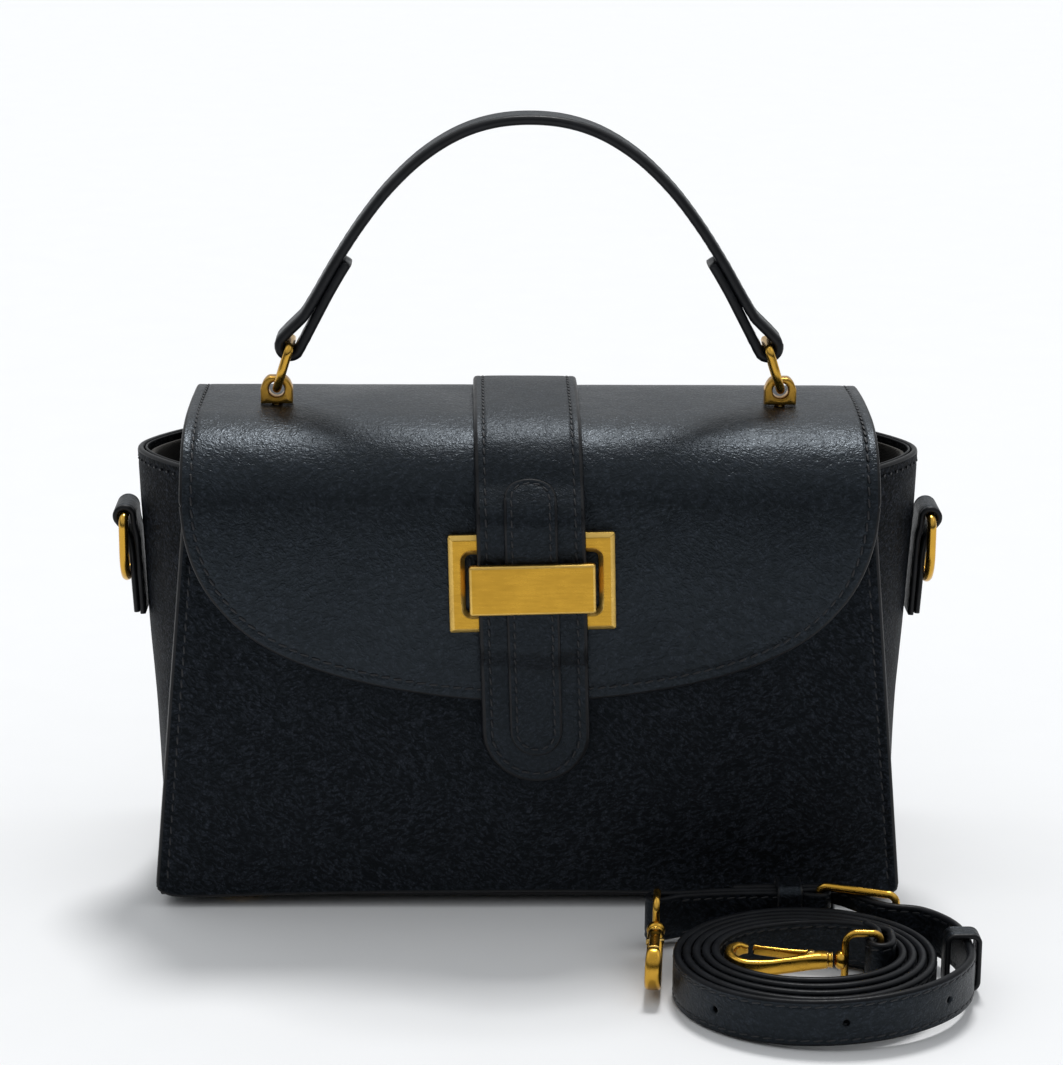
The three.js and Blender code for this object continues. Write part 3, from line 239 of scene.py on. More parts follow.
def cloth(name, base=(0.040, 0.036, 0.031)):
    n = Nodes(name)
    u = n.add("TexWave", wave_type="BANDS", bands_direction="DIAGONAL")
    v = n.add("TexWave", wave_type="BANDS", bands_direction="Z")
    for q in (u, v):
        n.link(n.co, q.inputs["Vector"])
        q.inputs["Scale"].default_value, q.inputs["Distortion"].default_value = 620, 0.4
    h = n.math("MAXIMUM", u.outputs["Fac"], v.outputs["Fac"])
    fuzz = n.noise(1500, 3.0).outputs["Fac"]
    tone = n.mix(n.math("MULTIPLY", h, fuzz), tuple(c * 0.55 for c in base), tuple(c * 1.5 for c in base))
    return n.finish(Base_Color=tone, Roughness=n.rng(fuzz, 0.2, 0.8, 0.8, 0.95), Normal=n.bump(h, 0.5, 0.0002), Sheen_Weight=0.25, Sheen_Roughness=0.5, Specular_IOR_Level=0.2)


def plated(name, tint=(0.56, 0.54, 0.50)):
    n = Nodes(name)
    br = n.noise(1.0, 3.0, 0.6, co=n.stretched((700.0, 700.0, 90.0))).outputs["Fac"]
    tone = n.mix(n.rng(br, 0.3, 0.7, 0.0, 1.0), tuple(c * 0.7 for c in tint), tint)
    return n.finish(Base_Color=tone, Metallic=1.0, Roughness=n.rng(br, 0.2, 0.8, 0.25, 0.42), Normal=n.bump(br, 0.3, 0.00004))


def fibreboard(name):
    n = Nodes(name)
    a = n.noise(500, 5.0, 0.7).outputs["Fac"]
    tone = n.mix(a, (0.20, 0.15, 0.10), (0.36, 0.29, 0.21))
    return n.finish(Base_Color=tone, Roughness=n.rng(a, 0.2, 0.8, 0.8, 0.95), Normal=n.bump(a, 0.5, 0.0003))


LEATHER = leather("leather_body", spec=0.15)
LEATHER_SIDE = leather("leather_side", rough=0.50, spec=0.07)
LEATHER_FLAP = leather("leather_flap", base=(0.0027, 0.0032, 0.0043), cell=720, rough=0.30, spec=0.36)
LEATHER_STRAP = leather("leather_strap", base=(0.0028, 0.0033, 0.0044), cell=860, rough=0.32, grain=0.85, spec=0.29)
LEATHER_HANDLE = leather("leather_handle", cell=1100, rough=0.33, grain=0.6, spec=0.28)
LEATHER_IN = leather("leather_inside", base=(0.0060, 0.0063, 0.0070), cell=1100, rough=0.6, grain=0.5, spec=0.15)
EDGE = edge_paint("edge_paint")
EDGE_COIL = edge_paint("edge_paint_strap", base=(0.0065, 0.0072, 0.0088), spec=0.12)
THREAD = thread("thread", base=(0.0105, 0.0115, 0.0140))
BRASS_X = brass("brass_brushed_x")
# a lighter copy of the brass for the lock's chamfers and bevels: painted highlight along these edges
BRASS_HIGHLIGHT_EDGE = brass("brass_painted_highlight_edge", tint=(0.86, 0.57, 0.15), rough=0.42)
BRASS_WIRE = brass("brass_wire", stretch=(260.0, 260.0, 260.0), rough=0.22, line=0.00001, tint=(0.64, 0.36, 0.048))
BRASS_CAST = brass("brass_cast", stretch=(420.0, 420.0, 120.0), rough=0.30, tint=(0.50, 0.27, 0.035))
CLOTH = cloth("lining_cloth")
STEEL = plated("nickel_plate")
BOARD = fibreboard("fibreboard")
DARK = leather("leather_cut", base=(0.004, 0.004, 0.0045), rough=0.7, grain=0.3, spec=0.1)


# ------------------------------------------------------------------ mesh helpers (all in mm, before the y shift)
def make(name, verts, faces, mats, mat_index=None, smooth=True, body=None, hides=(), slot=None, fix=True):
    v = np.asarray(verts, float).copy()
    v[:, 1] += CY
    me = bpy.data.meshes.new(name)
    me.from_pydata((v * MM).tolist(), [], [tuple(int(i) for i in f) for f in faces])
    for m in mats:
        me.materials.append(m)
    if mat_index is not None:
        me.polygons.foreach_set("material_index", np.asarray(mat_index, np.int32))
    me.polygons.foreach_set("use_smooth", [smooth] * len(me.polygons))
    if fix:
        bm = bmesh.new()
        bm.from_mesh(me)
        bmesh.ops.recalc_face_normals(bm, faces=bm.faces)
        bm.to_mesh(me)
        bm.free()
    me.update()
    ob = bpy.data.objects.new(name, me)
    scene.collection.objects.link(ob)
    if body:
        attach(ob, body)
    if hides:
        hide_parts(*hides)
    return ob


def unit(a):
    return a / np.maximum(np.linalg.norm(a, axis=-1, keepdims=True), 1e-12)


def grid_normals(P):
    return unit(np.cross(np.gradient(P, axis=1), np.gradient(P, axis=0)))


def shell(name, P, t, mats, out=None, disp=0.0, rim=5, **kw):
    """A sheet of thickness t round the middle surface P, with round edges. out: a direction that the outer face looks to."""
    n, m, _ = P.shape
    N = grid_normals(P)
    if out is not None and np.sum(N * np.asarray(out)) < 0:
        N = -N
    r = t / 2
    outer = P + N * (r + np.asarray(disp, float).reshape(-1, m)[:, :, None] if np.ndim(disp) else r + disp)
    inner = P - N * r
    idx = [(0, j) for j in range(m)] + [(i, m - 1) for i in range(1, n)] + [(n - 1, j) for j in range(m - 2, -1, -1)] + [(i, 0) for i in range(n - 2, 0, -1)]
    I = np.array(idx)
    Q = np.array([(min(max(i, 1), n - 2), min(max(j, 1), m - 2)) for i, j in idx])
    B, NB = P[I[:, 0], I[:, 1]], N[I[:, 0], I[:, 1]]
    O = B - P[Q[:, 0], Q[:, 1]]
    T = unit(np.roll(B, -1, 0) - np.roll(B, 1, 0))
    corner = np.array([(i in (0, n - 1)) and (j in (0, m - 1)) for i, j in idx])
    O = O - NB * np.sum(O * NB, 1, keepdims=True)
    O = np.where(corner[:, None], O, O - T * np.sum(O * T, 1, keepdims=True))
    O = unit(O)
    verts = [outer.reshape(-1, 3), inner.reshape(-1, 3)]
    K = len(idx)
    top = outer[I[:, 0], I[:, 1]]
    lift = np.sum((top - B) * NB, 1, keepdims=True)
    for k in range(1, rim + 1):
        a = math.pi * k / (rim + 1)
        c = math.cos(a)
        verts.append(B + NB * (c * (lift if c > 0 else r)) + O * (r * math.sin(a)))
    F, mi = [], []
    for i in range(n - 1):
        for j in range(m - 1):
            a, b, c, d = i * m + j, (i + 1) * m + j, (i + 1) * m + j + 1, i * m + j + 1
            F.append((a, b, c, d)); mi.append(0)
            F.append((n * m + a, n * m + d, n * m + c, n * m + b)); mi.append(2 if len(mats) > 2 else 0)
    base = 2 * n * m
    rows = [[i * m + j for i, j in idx]] + [[base + k * K + q for q in range(K)] for k in range(rim)] + [[n * m + i * m + j for i, j in idx]]
    for a, b in zip(rows, rows[1:]):
        for q in range(K):
            p = (q + 1) % K
            F.append((a[q], a[p], b[p], b[q])); mi.append(1)
    return make(name, np.concatenate(verts), F, mats, mi, **kw)


def sweep_mesh(C, A, B, sections, closed=False, flags=None, face_mats=(0, 1)):
    """Section points (u along A, w along B) carried along C. sections is (k, 2) or one per frame."""
    C, A, B = np.asarray(C, float), np.asarray(A, float), np.asarray(B, float)
    n = len(C)
    S = np.asarray(sections, float)
    if S.ndim == 2:
        S = np.repeat(S[None], n, 0)
    k = S.shape[1]
    V = C[:, None] + A[:, None] * S[:, :, :1] + B[:, None] * S[:, :, 1:2]
    F, mi = [], []
    for i in range(n if closed else n - 1):
        a, b = i * k, ((i + 1) % n) * k
        for j in range(k):
            l = (j + 1) % k
            F.append((a + j, b + j, b + l, a + l))
            mi.append(face_mats[1] if flags is not None and flags[j] else face_mats[0])
    V = V.reshape(-1, 3)
    if not closed:
        e = face_mats[1] if flags is not None else face_mats[0]
        F.append(tuple(range(k - 1, -1, -1))); mi.append(e)
        F.append(tuple((n - 1) * k + j for j in range(k))); mi.append(e)
    return V, F, mi


def join_parts(parts):
    V, F, mi, off = [], [], [], 0
    for v, f, m in parts:
        V.append(np.asarray(v, float))
        F += [tuple(i + off for i in q) for q in f]
        mi += list(m)
        off += len(v)
    return np.concatenate(V), F, mi


def strap_section(W, t, inset=2.2, groove=0.2, r=0.85, crown=0.0):
    r = min(r, t / 2)
    base = list(np.linspace(-W / 2 + r, W / 2 - r, 13))
    for s in (-1, 1):
        base += [s * (W / 2 - inset) + d for d in (-0.7, -0.35, 0, 0.35, 0.7)]
    ws = np.array(sorted(set(round(float(b), 3) for b in base if abs(b) <= W / 2 - r + 1e-6)))
    h = t / 2 + crown * (1 - (2 * ws / W) ** 2) - groove * np.exp(-((W / 2 - np.abs(ws) - inset) / 0.42) ** 2)
    P, fl = [], []
    for w, u in zip(ws, h):
        P.append((u, w)); fl.append(0)
    fl[-1] = 1
    for a in np.linspace(0, math.pi, 7)[1:-1]:
        P.append((t / 2 * math.cos(a), W / 2 - r + r * math.sin(a))); fl.append(1)
    for w, u in zip(ws[::-1], h[::-1]):
        P.append((-u, w)); fl.append(0)
    fl[-1] = 1
    for a in np.linspace(math.pi, 2 * math.pi, 7)[1:-1]:
        P.append((t / 2 * math.cos(a), -W / 2 + r + r * math.sin(a))); fl.append(1)
    return np.array(P), fl


def circle(r, k=16, sx=1.0):
    a = np.linspace(0, 2 * math.pi, k, endpoint=False)
    return np.stack([r * np.cos(a) * sx, r * np.sin(a)], 1)


def planar_frames(P, nrm, closed=False):
    P = np.asarray(P, float)
    if closed:
        T = unit(np.roll(P, -1, 0) - np.roll(P, 1, 0))
    else:
        T = unit(np.gradient(P, axis=0))
    B = np.repeat(np.asarray(nrm, float)[None], len(P), 0)
    A = unit(np.cross(T, B))
    return P, A, B


def resample(P, n, closed=False):
    P = np.asarray(P, float)
    Q = np.concatenate([P, P[:1]]) if closed else P
    s = np.concatenate([[0], np.cumsum(np.linalg.norm(np.diff(Q, axis=0), axis=1))])
    t = np.linspace(0, s[-1], n + 1 if closed else n)
    R = np.stack([np.interp(t, s, Q[:, c]) for c in range(Q.shape[1])], 1)
    return R[:-1] if closed else R


def rounded(P, k=2, closed=True):
    P = np.asarray(P, float)
    for _ in range(k):
        Q = np.roll(P, -1, 0) if closed else P[1:]
        R = P if closed else P[:-1]
        new = np.empty((2 * len(R), P.shape[1]))
        new[0::2], new[1::2] = 0.75 * R + 0.25 * Q, 0.25 * R + 0.75 * Q
        P = new if closed else np.concatenate([P[:1], new, P[-1:]])
    return P


def catmull(points, closed=False, n=4000):
    """Centripetal Catmull-Rom curve, sampled densely; returns the points and the running arc length at each of them."""
    P = [np.asarray(p, float) for p in points]
    L = len(P)
    out = []
    segs = L if closed else L - 1
    per = max(4, int(n / segs))
    for i in range(segs):
        p1, p2 = P[i % L], P[(i + 1) % L]
        p0 = P[(i - 1) % L] if (closed or i > 0) else 2 * P[0] - P[1]
        p3 = P[(i + 2) % L] if (closed or i + 2 < L) else 2 * P[-1] - P[-2]
        d0, d1, d2 = (max(float(np.dot(b - a, b - a)) ** 0.25, 0) for a, b in ((p0, p1), (p1, p2), (p2, p3)))
        d1 = d1 if d1 > 1e-4 else 1.0
        d0 = d0 if d0 > 1e-4 else d1
        d2 = d2 if d2 > 1e-4 else d1
        t1 = ((p1 - p0) / d0 - (p2 - p0) / (d0 + d1) + (p2 - p1) / d1) * d1
        t2 = ((p2 - p1) / d1 - (p3 - p1) / (d1 + d2) + (p3 - p2) / d2) * d1
        t = np.linspace(0, 1, per, endpoint=False)[:, None]
        out.append(p1 + t1 * t + (-3 * p1 + 3 * p2 - 2 * t1 - t2) * t ** 2 + (2 * p1 - 2 * p2 + t1 + t2) * t ** 3)
    if not closed:
        out.append(P[-1][None])
    D = np.concatenate(out)
    if closed:
        D = np.concatenate([D, D[:1]])
    s = np.concatenate([[0], np.cumsum(np.linalg.norm(np.diff(D, axis=0), axis=1))])
    return D, s


class Curve:
    def __init__(self, points, n=4000):
        self.D, self.s = catmull(points, n=n)
        self.len = self.s[-1]

    def at(self, q):
        q = np.clip(np.asarray(q, float), 0, self.len)
        return np.stack([np.interp(q, self.s, self.D[:, c]) for c in range(self.D.shape[1])], -1)

    def tan(self, q, e=0.5):
        return unit(self.at(np.asarray(q) + e) - self.at(np.asarray(q) - e))


def table(tb, x):
    return np.interp(x, [a for a, _ in tb], [b for _, b in tb])


def step(x, a, b):
    t = np.clip((np.asarray(x, float) - a) / (b - a), 0, 1)
    return t * t * (3 - 2 * t)


def wobble(P, scale, amp, seed=0.0):
    """Slow unevenness of hand-worked leather, one value per point."""
    f = P.reshape(-1, 3)
    v = np.array([noise.noise(Vector((p[0] / scale + seed, p[1] / scale - seed, p[2] / scale + 2 * seed))) for p in f])
    return (amp * v).reshape(P.shape[:-1])


# stitches: short fat threads lying in the surface
_st_rings = [(-0.5, 0.15), (-0.44, 0.62), (-0.3, 0.95), (0.0, 1.0), (0.3, 0.95), (0.44, 0.62), (0.5, 0.15)]


def stitch_parts(path, nrm, pitch=3.9, length=2.9, r=0.42, slant=0.14, sink=0.06, start=None, end=None):
    P, N = np.asarray(path, float), np.asarray(nrm, float)
    s = np.concatenate([[0], np.cumsum(np.linalg.norm(np.diff(P, axis=0), axis=1))])
    a, b = (start or 0.0), s[-1] - (end or 0.0)
    n = max(1, int(round((b - a) / pitch)))
    c = a + (np.arange(n) + 0.5) * (b - a) / n
    g = lambda X, q: np.stack([np.interp(q, s, X[:, k]) for k in range(3)], 1)
    p, nn = g(P, c), unit(g(N, c))
    t = unit(g(P, c + 0.8) - g(P, c - 0.8))
    t = unit(t - nn * np.sum(t * nn, 1, keepdims=True))
    b2 = np.cross(nn, t)
    t = unit(t + b2 * slant)
    b2 = np.cross(nn, t)
    k = 6
    ang = np.arange(k) * 2 * math.pi / k
    V, F, mi = [], [], []
    rings = len(_st_rings)
    tv = []
    for x, q in _st_rings:
        for w in ang:
            tv.append((x * length, r * q * math.cos(w), 0.72 * r * q * math.sin(w)))
    tv = np.array(tv)
    for i in range(n):
        base = p[i] - nn[i] * sink
        V.append(base + tv[:, :1] * t[i] + tv[:, 1:2] * b2[i] + tv[:, 2:] * nn[i])
        o = i * rings * k
        for j in range(rings - 1):
            for m in range(k):
                l = (m + 1) % k
                F.append((o + j * k + m, o + j * k + l, o + (j + 1) * k + l, o + (j + 1) * k + m))
        F.append(tuple(o + m for m in range(k - 1, -1, -1)))
        F.append(tuple(o + (rings - 1) * k + m for m in range(k)))
    return np.concatenate(V), F, [0] * len(F)


def stitches(name, runs, body, mats=(THREAD,)):
    V, F, mi = join_parts([stitch_parts(*r[:2], **(r[2] if len(r) > 2 else {})) for r in runs])
    return make(name, V, F, list(mats), mi, body=body, slot="leather", fix=False)


# ------------------------------------------------------------------ body
half_w = lambda z: BASE_HALF_W - SIDE_TAPER * (z - FOOT_H)
half_d = lambda z: BASE_HALF_D - (BASE_HALF_D - TOP_HALF_D) * (z - FOOT_H) / (BODY_TOP - FOOT_H)


def panel_point(v, f, side, top):
    zb = FOOT_H + 2.4 * (1 - v * v) + 3.2 * np.abs(v) ** 40 + 0.9
    z = zb + (top - 1.0 - zb) * f
    return z, v * (half_w(z) - 1.1)


def bulge(x, z, side):
    """How far a panel stands out of its flat pattern: a soft belly low down, pinned at the seams."""
    u = np.clip(1 - (np.abs(x) / (half_w(z) - 6.5)) ** 4, 0, 1)
    low = np.clip((z - 5) / 22, 0, 1) * np.clip((96 - z) / 60, 0, 1)
    return u * low * (1.1 if side < 0 else 1.8)


def seam_dip(x, z):
    d = half_w(z) - np.abs(x)
    return -0.35 * np.exp(-((d - 3.7) / 0.6) ** 2) + 0.25 * np.exp(-((d - 1.8) / 1.0) ** 2)


def panel(name, side, top, hides):
    nv, nf = 190, 120
    v = np.sign(np.linspace(-1, 1, nv)) * (1 - (1 - np.abs(np.linspace(-1, 1, nv))) ** 1.25)
    f = np.linspace(0, 1, nf)
    vv, ff = np.meshgrid(v, f)
    z, x = panel_point(vv, ff, side, top)
    y = side * (half_d(z) - PANEL_T / 2)
    P = np.stack([x, y, z], -1)
    bl = bulge(x, z, side)
    P[..., 1] += side * bl
    d = seam_dip(x, z) + wobble(P, 38, 0.30, 1.7 + side) * np.clip((half_w(z) - np.abs(x)) / 18, 0, 1) + wobble(P, 12, 0.05, 4.1)
    d = d - 0.25 * np.exp(-((z - (8.0 + 2.4 * (1 - vv ** 2))) / 0.7) ** 2) * 0
    return shell(name, P, PANEL_T - 0.1, [LEATHER, EDGE, LEATHER_IN], out=(0, side, 0), disp=d, body="bag_body", hides=hides, slot="leather")


panel("front_panel_leather", -1, FRONT_TOP, ["front_panel"])
panel("back_panel_leather", 1, BODY_TOP, ["back_panel"])


def panel_seam(side, top, s):
    z = np.linspace(9.5, top - 2, 160)
    x = s * (half_w(z) - 3.7)
    P = np.stack([x, side * (half_d(z) - 0.05 + bulge(x, z, side) - 0.32), z], 1)
    return P, np.repeat([[0, side, 0.07]], len(P), 0)


for side, top, nm in ((-1, FRONT_TOP - 1, "front"), (1, BODY_TOP - 1, "back")):
    stitches(f"{nm}_seam_stitches", [(*panel_seam(side, top, s), dict(pitch=3.9)) for s in (-1, 1)], "bag_body")

# base: thin leather with round corners
hx, hy = BASE_HALF_W - 2.4, half_d(6) - PANEL_T - GAP - 1.2
gx, gy = np.meshgrid(np.linspace(-hx, hx, 70), np.linspace(-hy, hy, 30))
P = np.stack([gx, gy, FOOT_H + 1.15 + 0.12 * np.cos(gx / 33) * np.cos(gy / 20)], -1)
shell("base_leather", P, 2.0, [LEATHER, EDGE, LEATHER_IN], out=(0, 0, -1), body="bag_body", hides=["base_panel"], slot="leather")

# gussets
APEX = [[3, 124.6], [30, 126.0], [61, 127.4], [88, 129.2], [110, 130.4], [129, 131.3], [148, 132.0]]


def smooth_table(tb):
    c = Curve([(a, b, 0) for a, b in tb], 1200)
    return lambda x: np.interp(x, c.D[:, 0], c.D[:, 1])


apex_at = smooth_table(APEX)


def gusset_line(z, shift, k=61):
    """Middle line of the side wall in plan at height z, shifted inwards, on the +X side."""
    w = half_w(z)
    yf = half_d(z) - PANEL_T - GAP - GUSSET_T / 2
    apex, root, yw = apex_at(z) - GUSSET_T / 2, w - 5.2, yf - 2.2
    y = np.linspace(-yw, yw, k)
    a = np.abs(y) / yw
    soft = np.sqrt(a * a + 0.0030) - math.sqrt(0.0030)
    soft = np.clip(soft / (math.sqrt(1.0030) - math.sqrt(0.0030)), 0, 1) ** 1.55
    x = root + (apex - root) * (1 - soft)
    pts = [(w - 0.8, -yf), (w - 3.0, -yf), (w - 4.3, -yf + 0.25), (w - 4.95, -yf + 1.1)] + list(zip(x, y)) + [(w - 4.95, yf - 1.1), (w - 4.3, yf - 0.25), (w - 3.0, yf), (w - 0.8, yf)]
    P = np.array(pts, float)
    if shift:
        T = unit(np.gradient(P, axis=0))
        P = P - np.stack([T[:, 1], -T[:, 0]], 1) * shift
    return P


def side_wall(side, shift, z0, z1, nz=90):
    rows = []
    for z in np.linspace(z0, z1, nz):
        L = gusset_line(z, shift)
        rows.append(np.stack([side * L[:, 0], L[:, 1], np.full(len(L), z)], 1))
    return np.array(rows)


for side, nm in ((-1, "left"), (1, "right")):
    P = side_wall(side, 0, FOOT_H + 2.2 + GAP + 1.0, RIM_Z - 1.0)
    fade = np.clip((P[..., 2] - 6) / 25, 0, 1) * np.clip((46 - np.abs(P[..., 1])) / 20, 0, 1)
    P[..., 0] += side * wobble(P, 42, 0.9, 3.3 + side) * fade * np.clip((RIM_Z - P[..., 2]) / 30, 0.15, 1)
    d = -0.3 * np.exp(-((RIM_Z - P[..., 2] - 3.6) / 0.6) ** 2) + wobble(P, 11, 0.05, 7.0)
    shell(f"gusset_{nm}_leather", P, GUSSET_T - 0.1, [LEATHER_SIDE, EDGE, LEATHER_IN], out=(side, 0, 0), disp=d, body="bag_body", hides=[f"gusset_{nm}"], slot="leather")
    # inner facing that makes the rim a double edge
    Q = side_wall(side, GUSSET_T / 2 + 0.75, 118, RIM_Z - 0.8, 26)[:, 5:-5]
    Q[..., 2] += 0.25
    shell(f"gusset_{nm}_facing", Q, 0.9, [LEATHER_IN, EDGE], out=(side, 0, 0), rim=3, body="bag_body", slot="leather")
    z = RIM_Z - 3.6
    L = gusset_line(z, -GUSSET_T / 2 + 0.05)[4:-4]
    path = np.stack([side * L[:, 0], L[:, 1], np.full(len(L), z)], 1)
    nr = unit(np.stack([np.full(len(L), side * 1.0), L[:, 1] * 0.012, np.zeros(len(L))], 1))
    stitches(f"gusset_{nm}_rim_stitches", [(path, nr, dict(pitch=3.7))], "bag_body")

# lining: a cloth bag inside the walls
rows = []
for z in np.linspace(8.2, 145.2, 60):
    R = gusset_line(z, GUSSET_T / 2 + 1.9, 41)[4:-4]
    R = R[np.abs(R[:, 1]) < half_d(z) - PANEL_T - 3.4]
    yc = half_d(z) - PANEL_T - 2.6
    x0 = half_w(z) - 11.5
    front = [(x, -yc) for x in np.linspace(-x0, x0, 60)]
    right = [(a, b) for a, b in R]
    backl = [(x, yc) for x in np.linspace(x0, -x0, 60)]
    left = [(-a, b) for a, b in R[::-1]]
    loop = resample(np.array(front + right + backl + left), 220, closed=True)
    rows.append(np.stack([loop[:, 0], loop[:, 1], np.full(220, z)], 1))
W3 = np.array(rows)
W3[..., 0] *= 1 + 0.004 * np.sin(W3[..., 2] / 9)
cen = np.array([0, 0, 0])
inner = W3.copy()
inner[..., :2] *= 0.992
k = 220
V = np.concatenate([W3.reshape(-1, 3), inner[::-1].reshape(-1, 3), [[0, 0, 8.2]], [[0, 0, 8.9]]])
F = []
n2 = 2 * len(W3)
for i in range(n2 - 1):
    for j in range(k):
        l = (j + 1) % k
        F.append((i * k + j, i * k + l, (i + 1) * k + l, (i + 1) * k + j))
for j in range(k):
    l = (j + 1) % k
    F.append((n2 * k, l, j))
    F.append((n2 * k + 1, (n2 - 1) * k + j, (n2 - 1) * k + l))
V[-1 - k:-2, 2] += 0.7
make("lining_cloth", V, F, [CLOTH], body="bag_body", hides=["lining"], slot="lining_fabric")

# ------------------------------------------------------------------ flap
FLAP_PROFILE = [[40.5, 151.8], [40.6, 154.5], [39.6, 157.8], [36.6, 160.2], [32, 161.1], [22, 161.7], [8, 162.0], [-6, 161.9], [-18, 161.2],
                [-28, 159.2], [-36, 155.4], [-42, 149.8], [-46.2, 142.5], [-48.4, 133], [-49.6, 122], [-50.1, 110], [-50.2, 98], [-50.0, 86], [-49.6, 72.5]]
prof = Curve([(0, y, z) for y, z in FLAP_PROFILE])
BACK_TAIL = [[44.5, 118], [43.75, 129], [43.05, 139], [42.3, 146.5], [41.4, 151.2]]
skin = Curve([(0, y, z) for y, z in BACK_TAIL + FLAP_PROFILE[1:]])
TAIL = skin.s[np.argmin(np.abs(skin.D[:, 1] - FLAP_PROFILE[1][0]) + np.abs(skin.D[:, 2] - FLAP_PROFILE[1][1]))]
LOW = [[0, 72.6], [20, 73.1], [40, 75.6], [55, 78.6], [66, 81.6], [76.5, 85.4], [85, 89.5], [91.5, 93.6], [97, 98.2], [101.5, 103], [105.5, 108.2], [109, 114.6], [111.6, 121.5], [113.4, 129], [114.5, 138]]
_low = Curve([(-x, z, 0) for x, z in LOW[::-1]] + [(x, z, 0) for x, z in LOW[1:]], 3000)
low_z = lambda x: np.interp(x, _low.D[:, 0], _low.D[:, 1])
_fz = skin.s > TAIL + 50
s_of_z = lambda z: np.interp(-np.asarray(z, float), -skin.D[_fz, 2], skin.s[_fz])


def normal_yz(curve, s):
    t = curve.tan(s, 0.6)
    return np.stack([np.zeros_like(t[..., 1]), t[..., 2], -t[..., 1]], -1)


def flap_point(x, s, off):
    p, n = skin.at(s), normal_yz(skin, s)
    q = p + n * np.asarray(off)[..., None]
    q[..., 0] = x
    return q, n


# outline of the flap laid flat, in x and s
xs = _low.D[::6, 0]
low_line = np.stack([xs, s_of_z(_low.D[::6, 1])], 1)
s_side = s_of_z(138.0)
out_flat = np.concatenate([np.stack([np.full(60, -FLAP_HALF_W), np.linspace(2, s_side - 0.5, 60)], 1), low_line, np.stack([np.full(60, FLAP_HALF_W), np.linspace(s_side - 0.5, 2, 60)], 1)])
T2 = unit(np.gradient(out_flat, axis=0))
in_n = np.stack([T2[:, 1], -T2[:, 0]], 1)
if in_n[len(in_n) // 2][1] > 0:
    in_n = -in_n


def edge_distance(x, s):
    q = np.stack([x.ravel(), s.ravel()], 1)
    best = np.full(len(q), 1e9)
    for c in range(0, len(out_flat), 60):
        seg = out_flat[c:c + 60]
        best = np.minimum(best, np.sqrt(((q[:, None] - seg[None]) ** 2).sum(2)).min(1))
    return best.reshape(x.shape)


nx, ns = 170, 190
u = np.sin(np.linspace(-math.pi / 2, math.pi / 2, nx) * 0.985) / math.sin(math.pi / 2 * 0.985)
half = FLAP_HALF_W - 1.0
X = u * half
s_end = s_of_z(low_z(X * FLAP_HALF_W / half)) - 1.0
g = np.linspace(0, 1, ns)
SS = 0.8 + (s_end[None] - 0.8) * g[:, None]
XX = np.repeat(X[None], ns, 0)
taper = np.clip((TAIL - 4 - SS) / 30, 0, 1) * 3.0
XX = XX * (1 - taper / half)
P, N = flap_point(XX, SS, np.full(XX.shape, -FLAP_T / 2))
dist = edge_distance(XX, SS)
front = step(SS, TAIL + 2, TAIL + 20)
near_strap = np.exp(-((XX - 1.5) / 17.0) ** 6)
soft = (wobble(P, 34, 0.55, 9.2) + wobble(P, 13, 0.16, 2.2)) * front * (1 - 0.85 * near_strap)
puff = 0.45 * (1 - np.exp(-np.clip(dist - 4.0, 0, None) / 5.0)) * front * (1 - 0.8 * near_strap)
P = P + N * (soft * 0.5 + np.clip(puff, 0, None) * 0.6)[..., None]
dip = -0.42 * np.exp(-((dist - 4.0) / 0.62) ** 2) * (0.25 + 0.75 * front)
lug_press = sum(-0.5 * np.exp(-(((XX - s * LUG_X) / 8.5) ** 2 + ((P[..., 1]) / 6.5) ** 2) ** 2) for s in (-1, 1)) * (P[..., 2] > 158)
P = P + N * np.minimum(lug_press, 0)[..., None] * 0.6
flap = shell("flap_skin", P, FLAP_T - 0.1, [LEATHER_FLAP, EDGE, LEATHER_IN], out=N, disp=dip, slot="leather")
flap_soft = (soft * 0.5 + np.clip(puff, 0, None) * 0.6)
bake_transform(flap)
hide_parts("flap_leather")


# cloth lining of the flap, a little smaller than the leather and slightly puckered
s_first = float(skin.s[np.argmin(np.hypot(skin.D[:, 1] - 31.0, skin.D[:, 2] - 161.2))])
lx, lg = np.linspace(-1, 1, 90) * (FLAP_HALF_W - 2.8), np.linspace(0, 1, 130)
l_end = s_of_z(low_z(lx * FLAP_HALF_W / (FLAP_HALF_W - 2.8))) - 2.9
LS = s_first + (l_end[None] - s_first) * lg[:, None]
LP, LN = flap_point(np.repeat(lx[None], 130, 0), LS, np.full((130, 90), -(FLAP_T + GAP + 0.1 + 0.5)))
LP = LP + LN * np.minimum(wobble(LP, 15, 0.22, 6.1), 0.0)[..., None]
shell("flap_lining_cloth", LP, 0.9, [CLOTH, CLOTH], out=LN, rim=3, body="flap", hides=["flap_lining"], slot="lining_fabric")


def flap_stitch_path(inset, a=None, b=None):
    q = out_flat + in_n * inset
    if a is not None:
        q = q[a:b]
    p, n = flap_point(q[:, 0], q[:, 1], np.full(len(q), 0.0))
    w = 0.5 * (1 - np.exp(-0.0))
    return p - n * 0.22, n


path, nr = flap_stitch_path(4.0)
keep = path[:, 1] < 38.5
tail = (path[:, 1] >= 40.5) & (path[:, 2] < 149.0)
first = np.arange(len(path)) < len(path) // 2
st = stitches("flap_stitches", [(path[keep], nr[keep], dict(pitch=3.95, sink=0.02))], "flap")
runs = [(path[m_], nr[m_], dict(pitch=3.95, sink=0.02)) for m_ in (tail & first, tail & ~first)]
for ds in (4.0, 11.0):
    xx = np.linspace(-108.5, 108.5, 120)
    p, n = flap_point(xx, np.full(120, ds), np.full(120, 0.0))
    runs.append((p - n * 0.15, n, dict(pitch=3.9)))
stitches("flap_tail_stitches", runs, "bag_body")

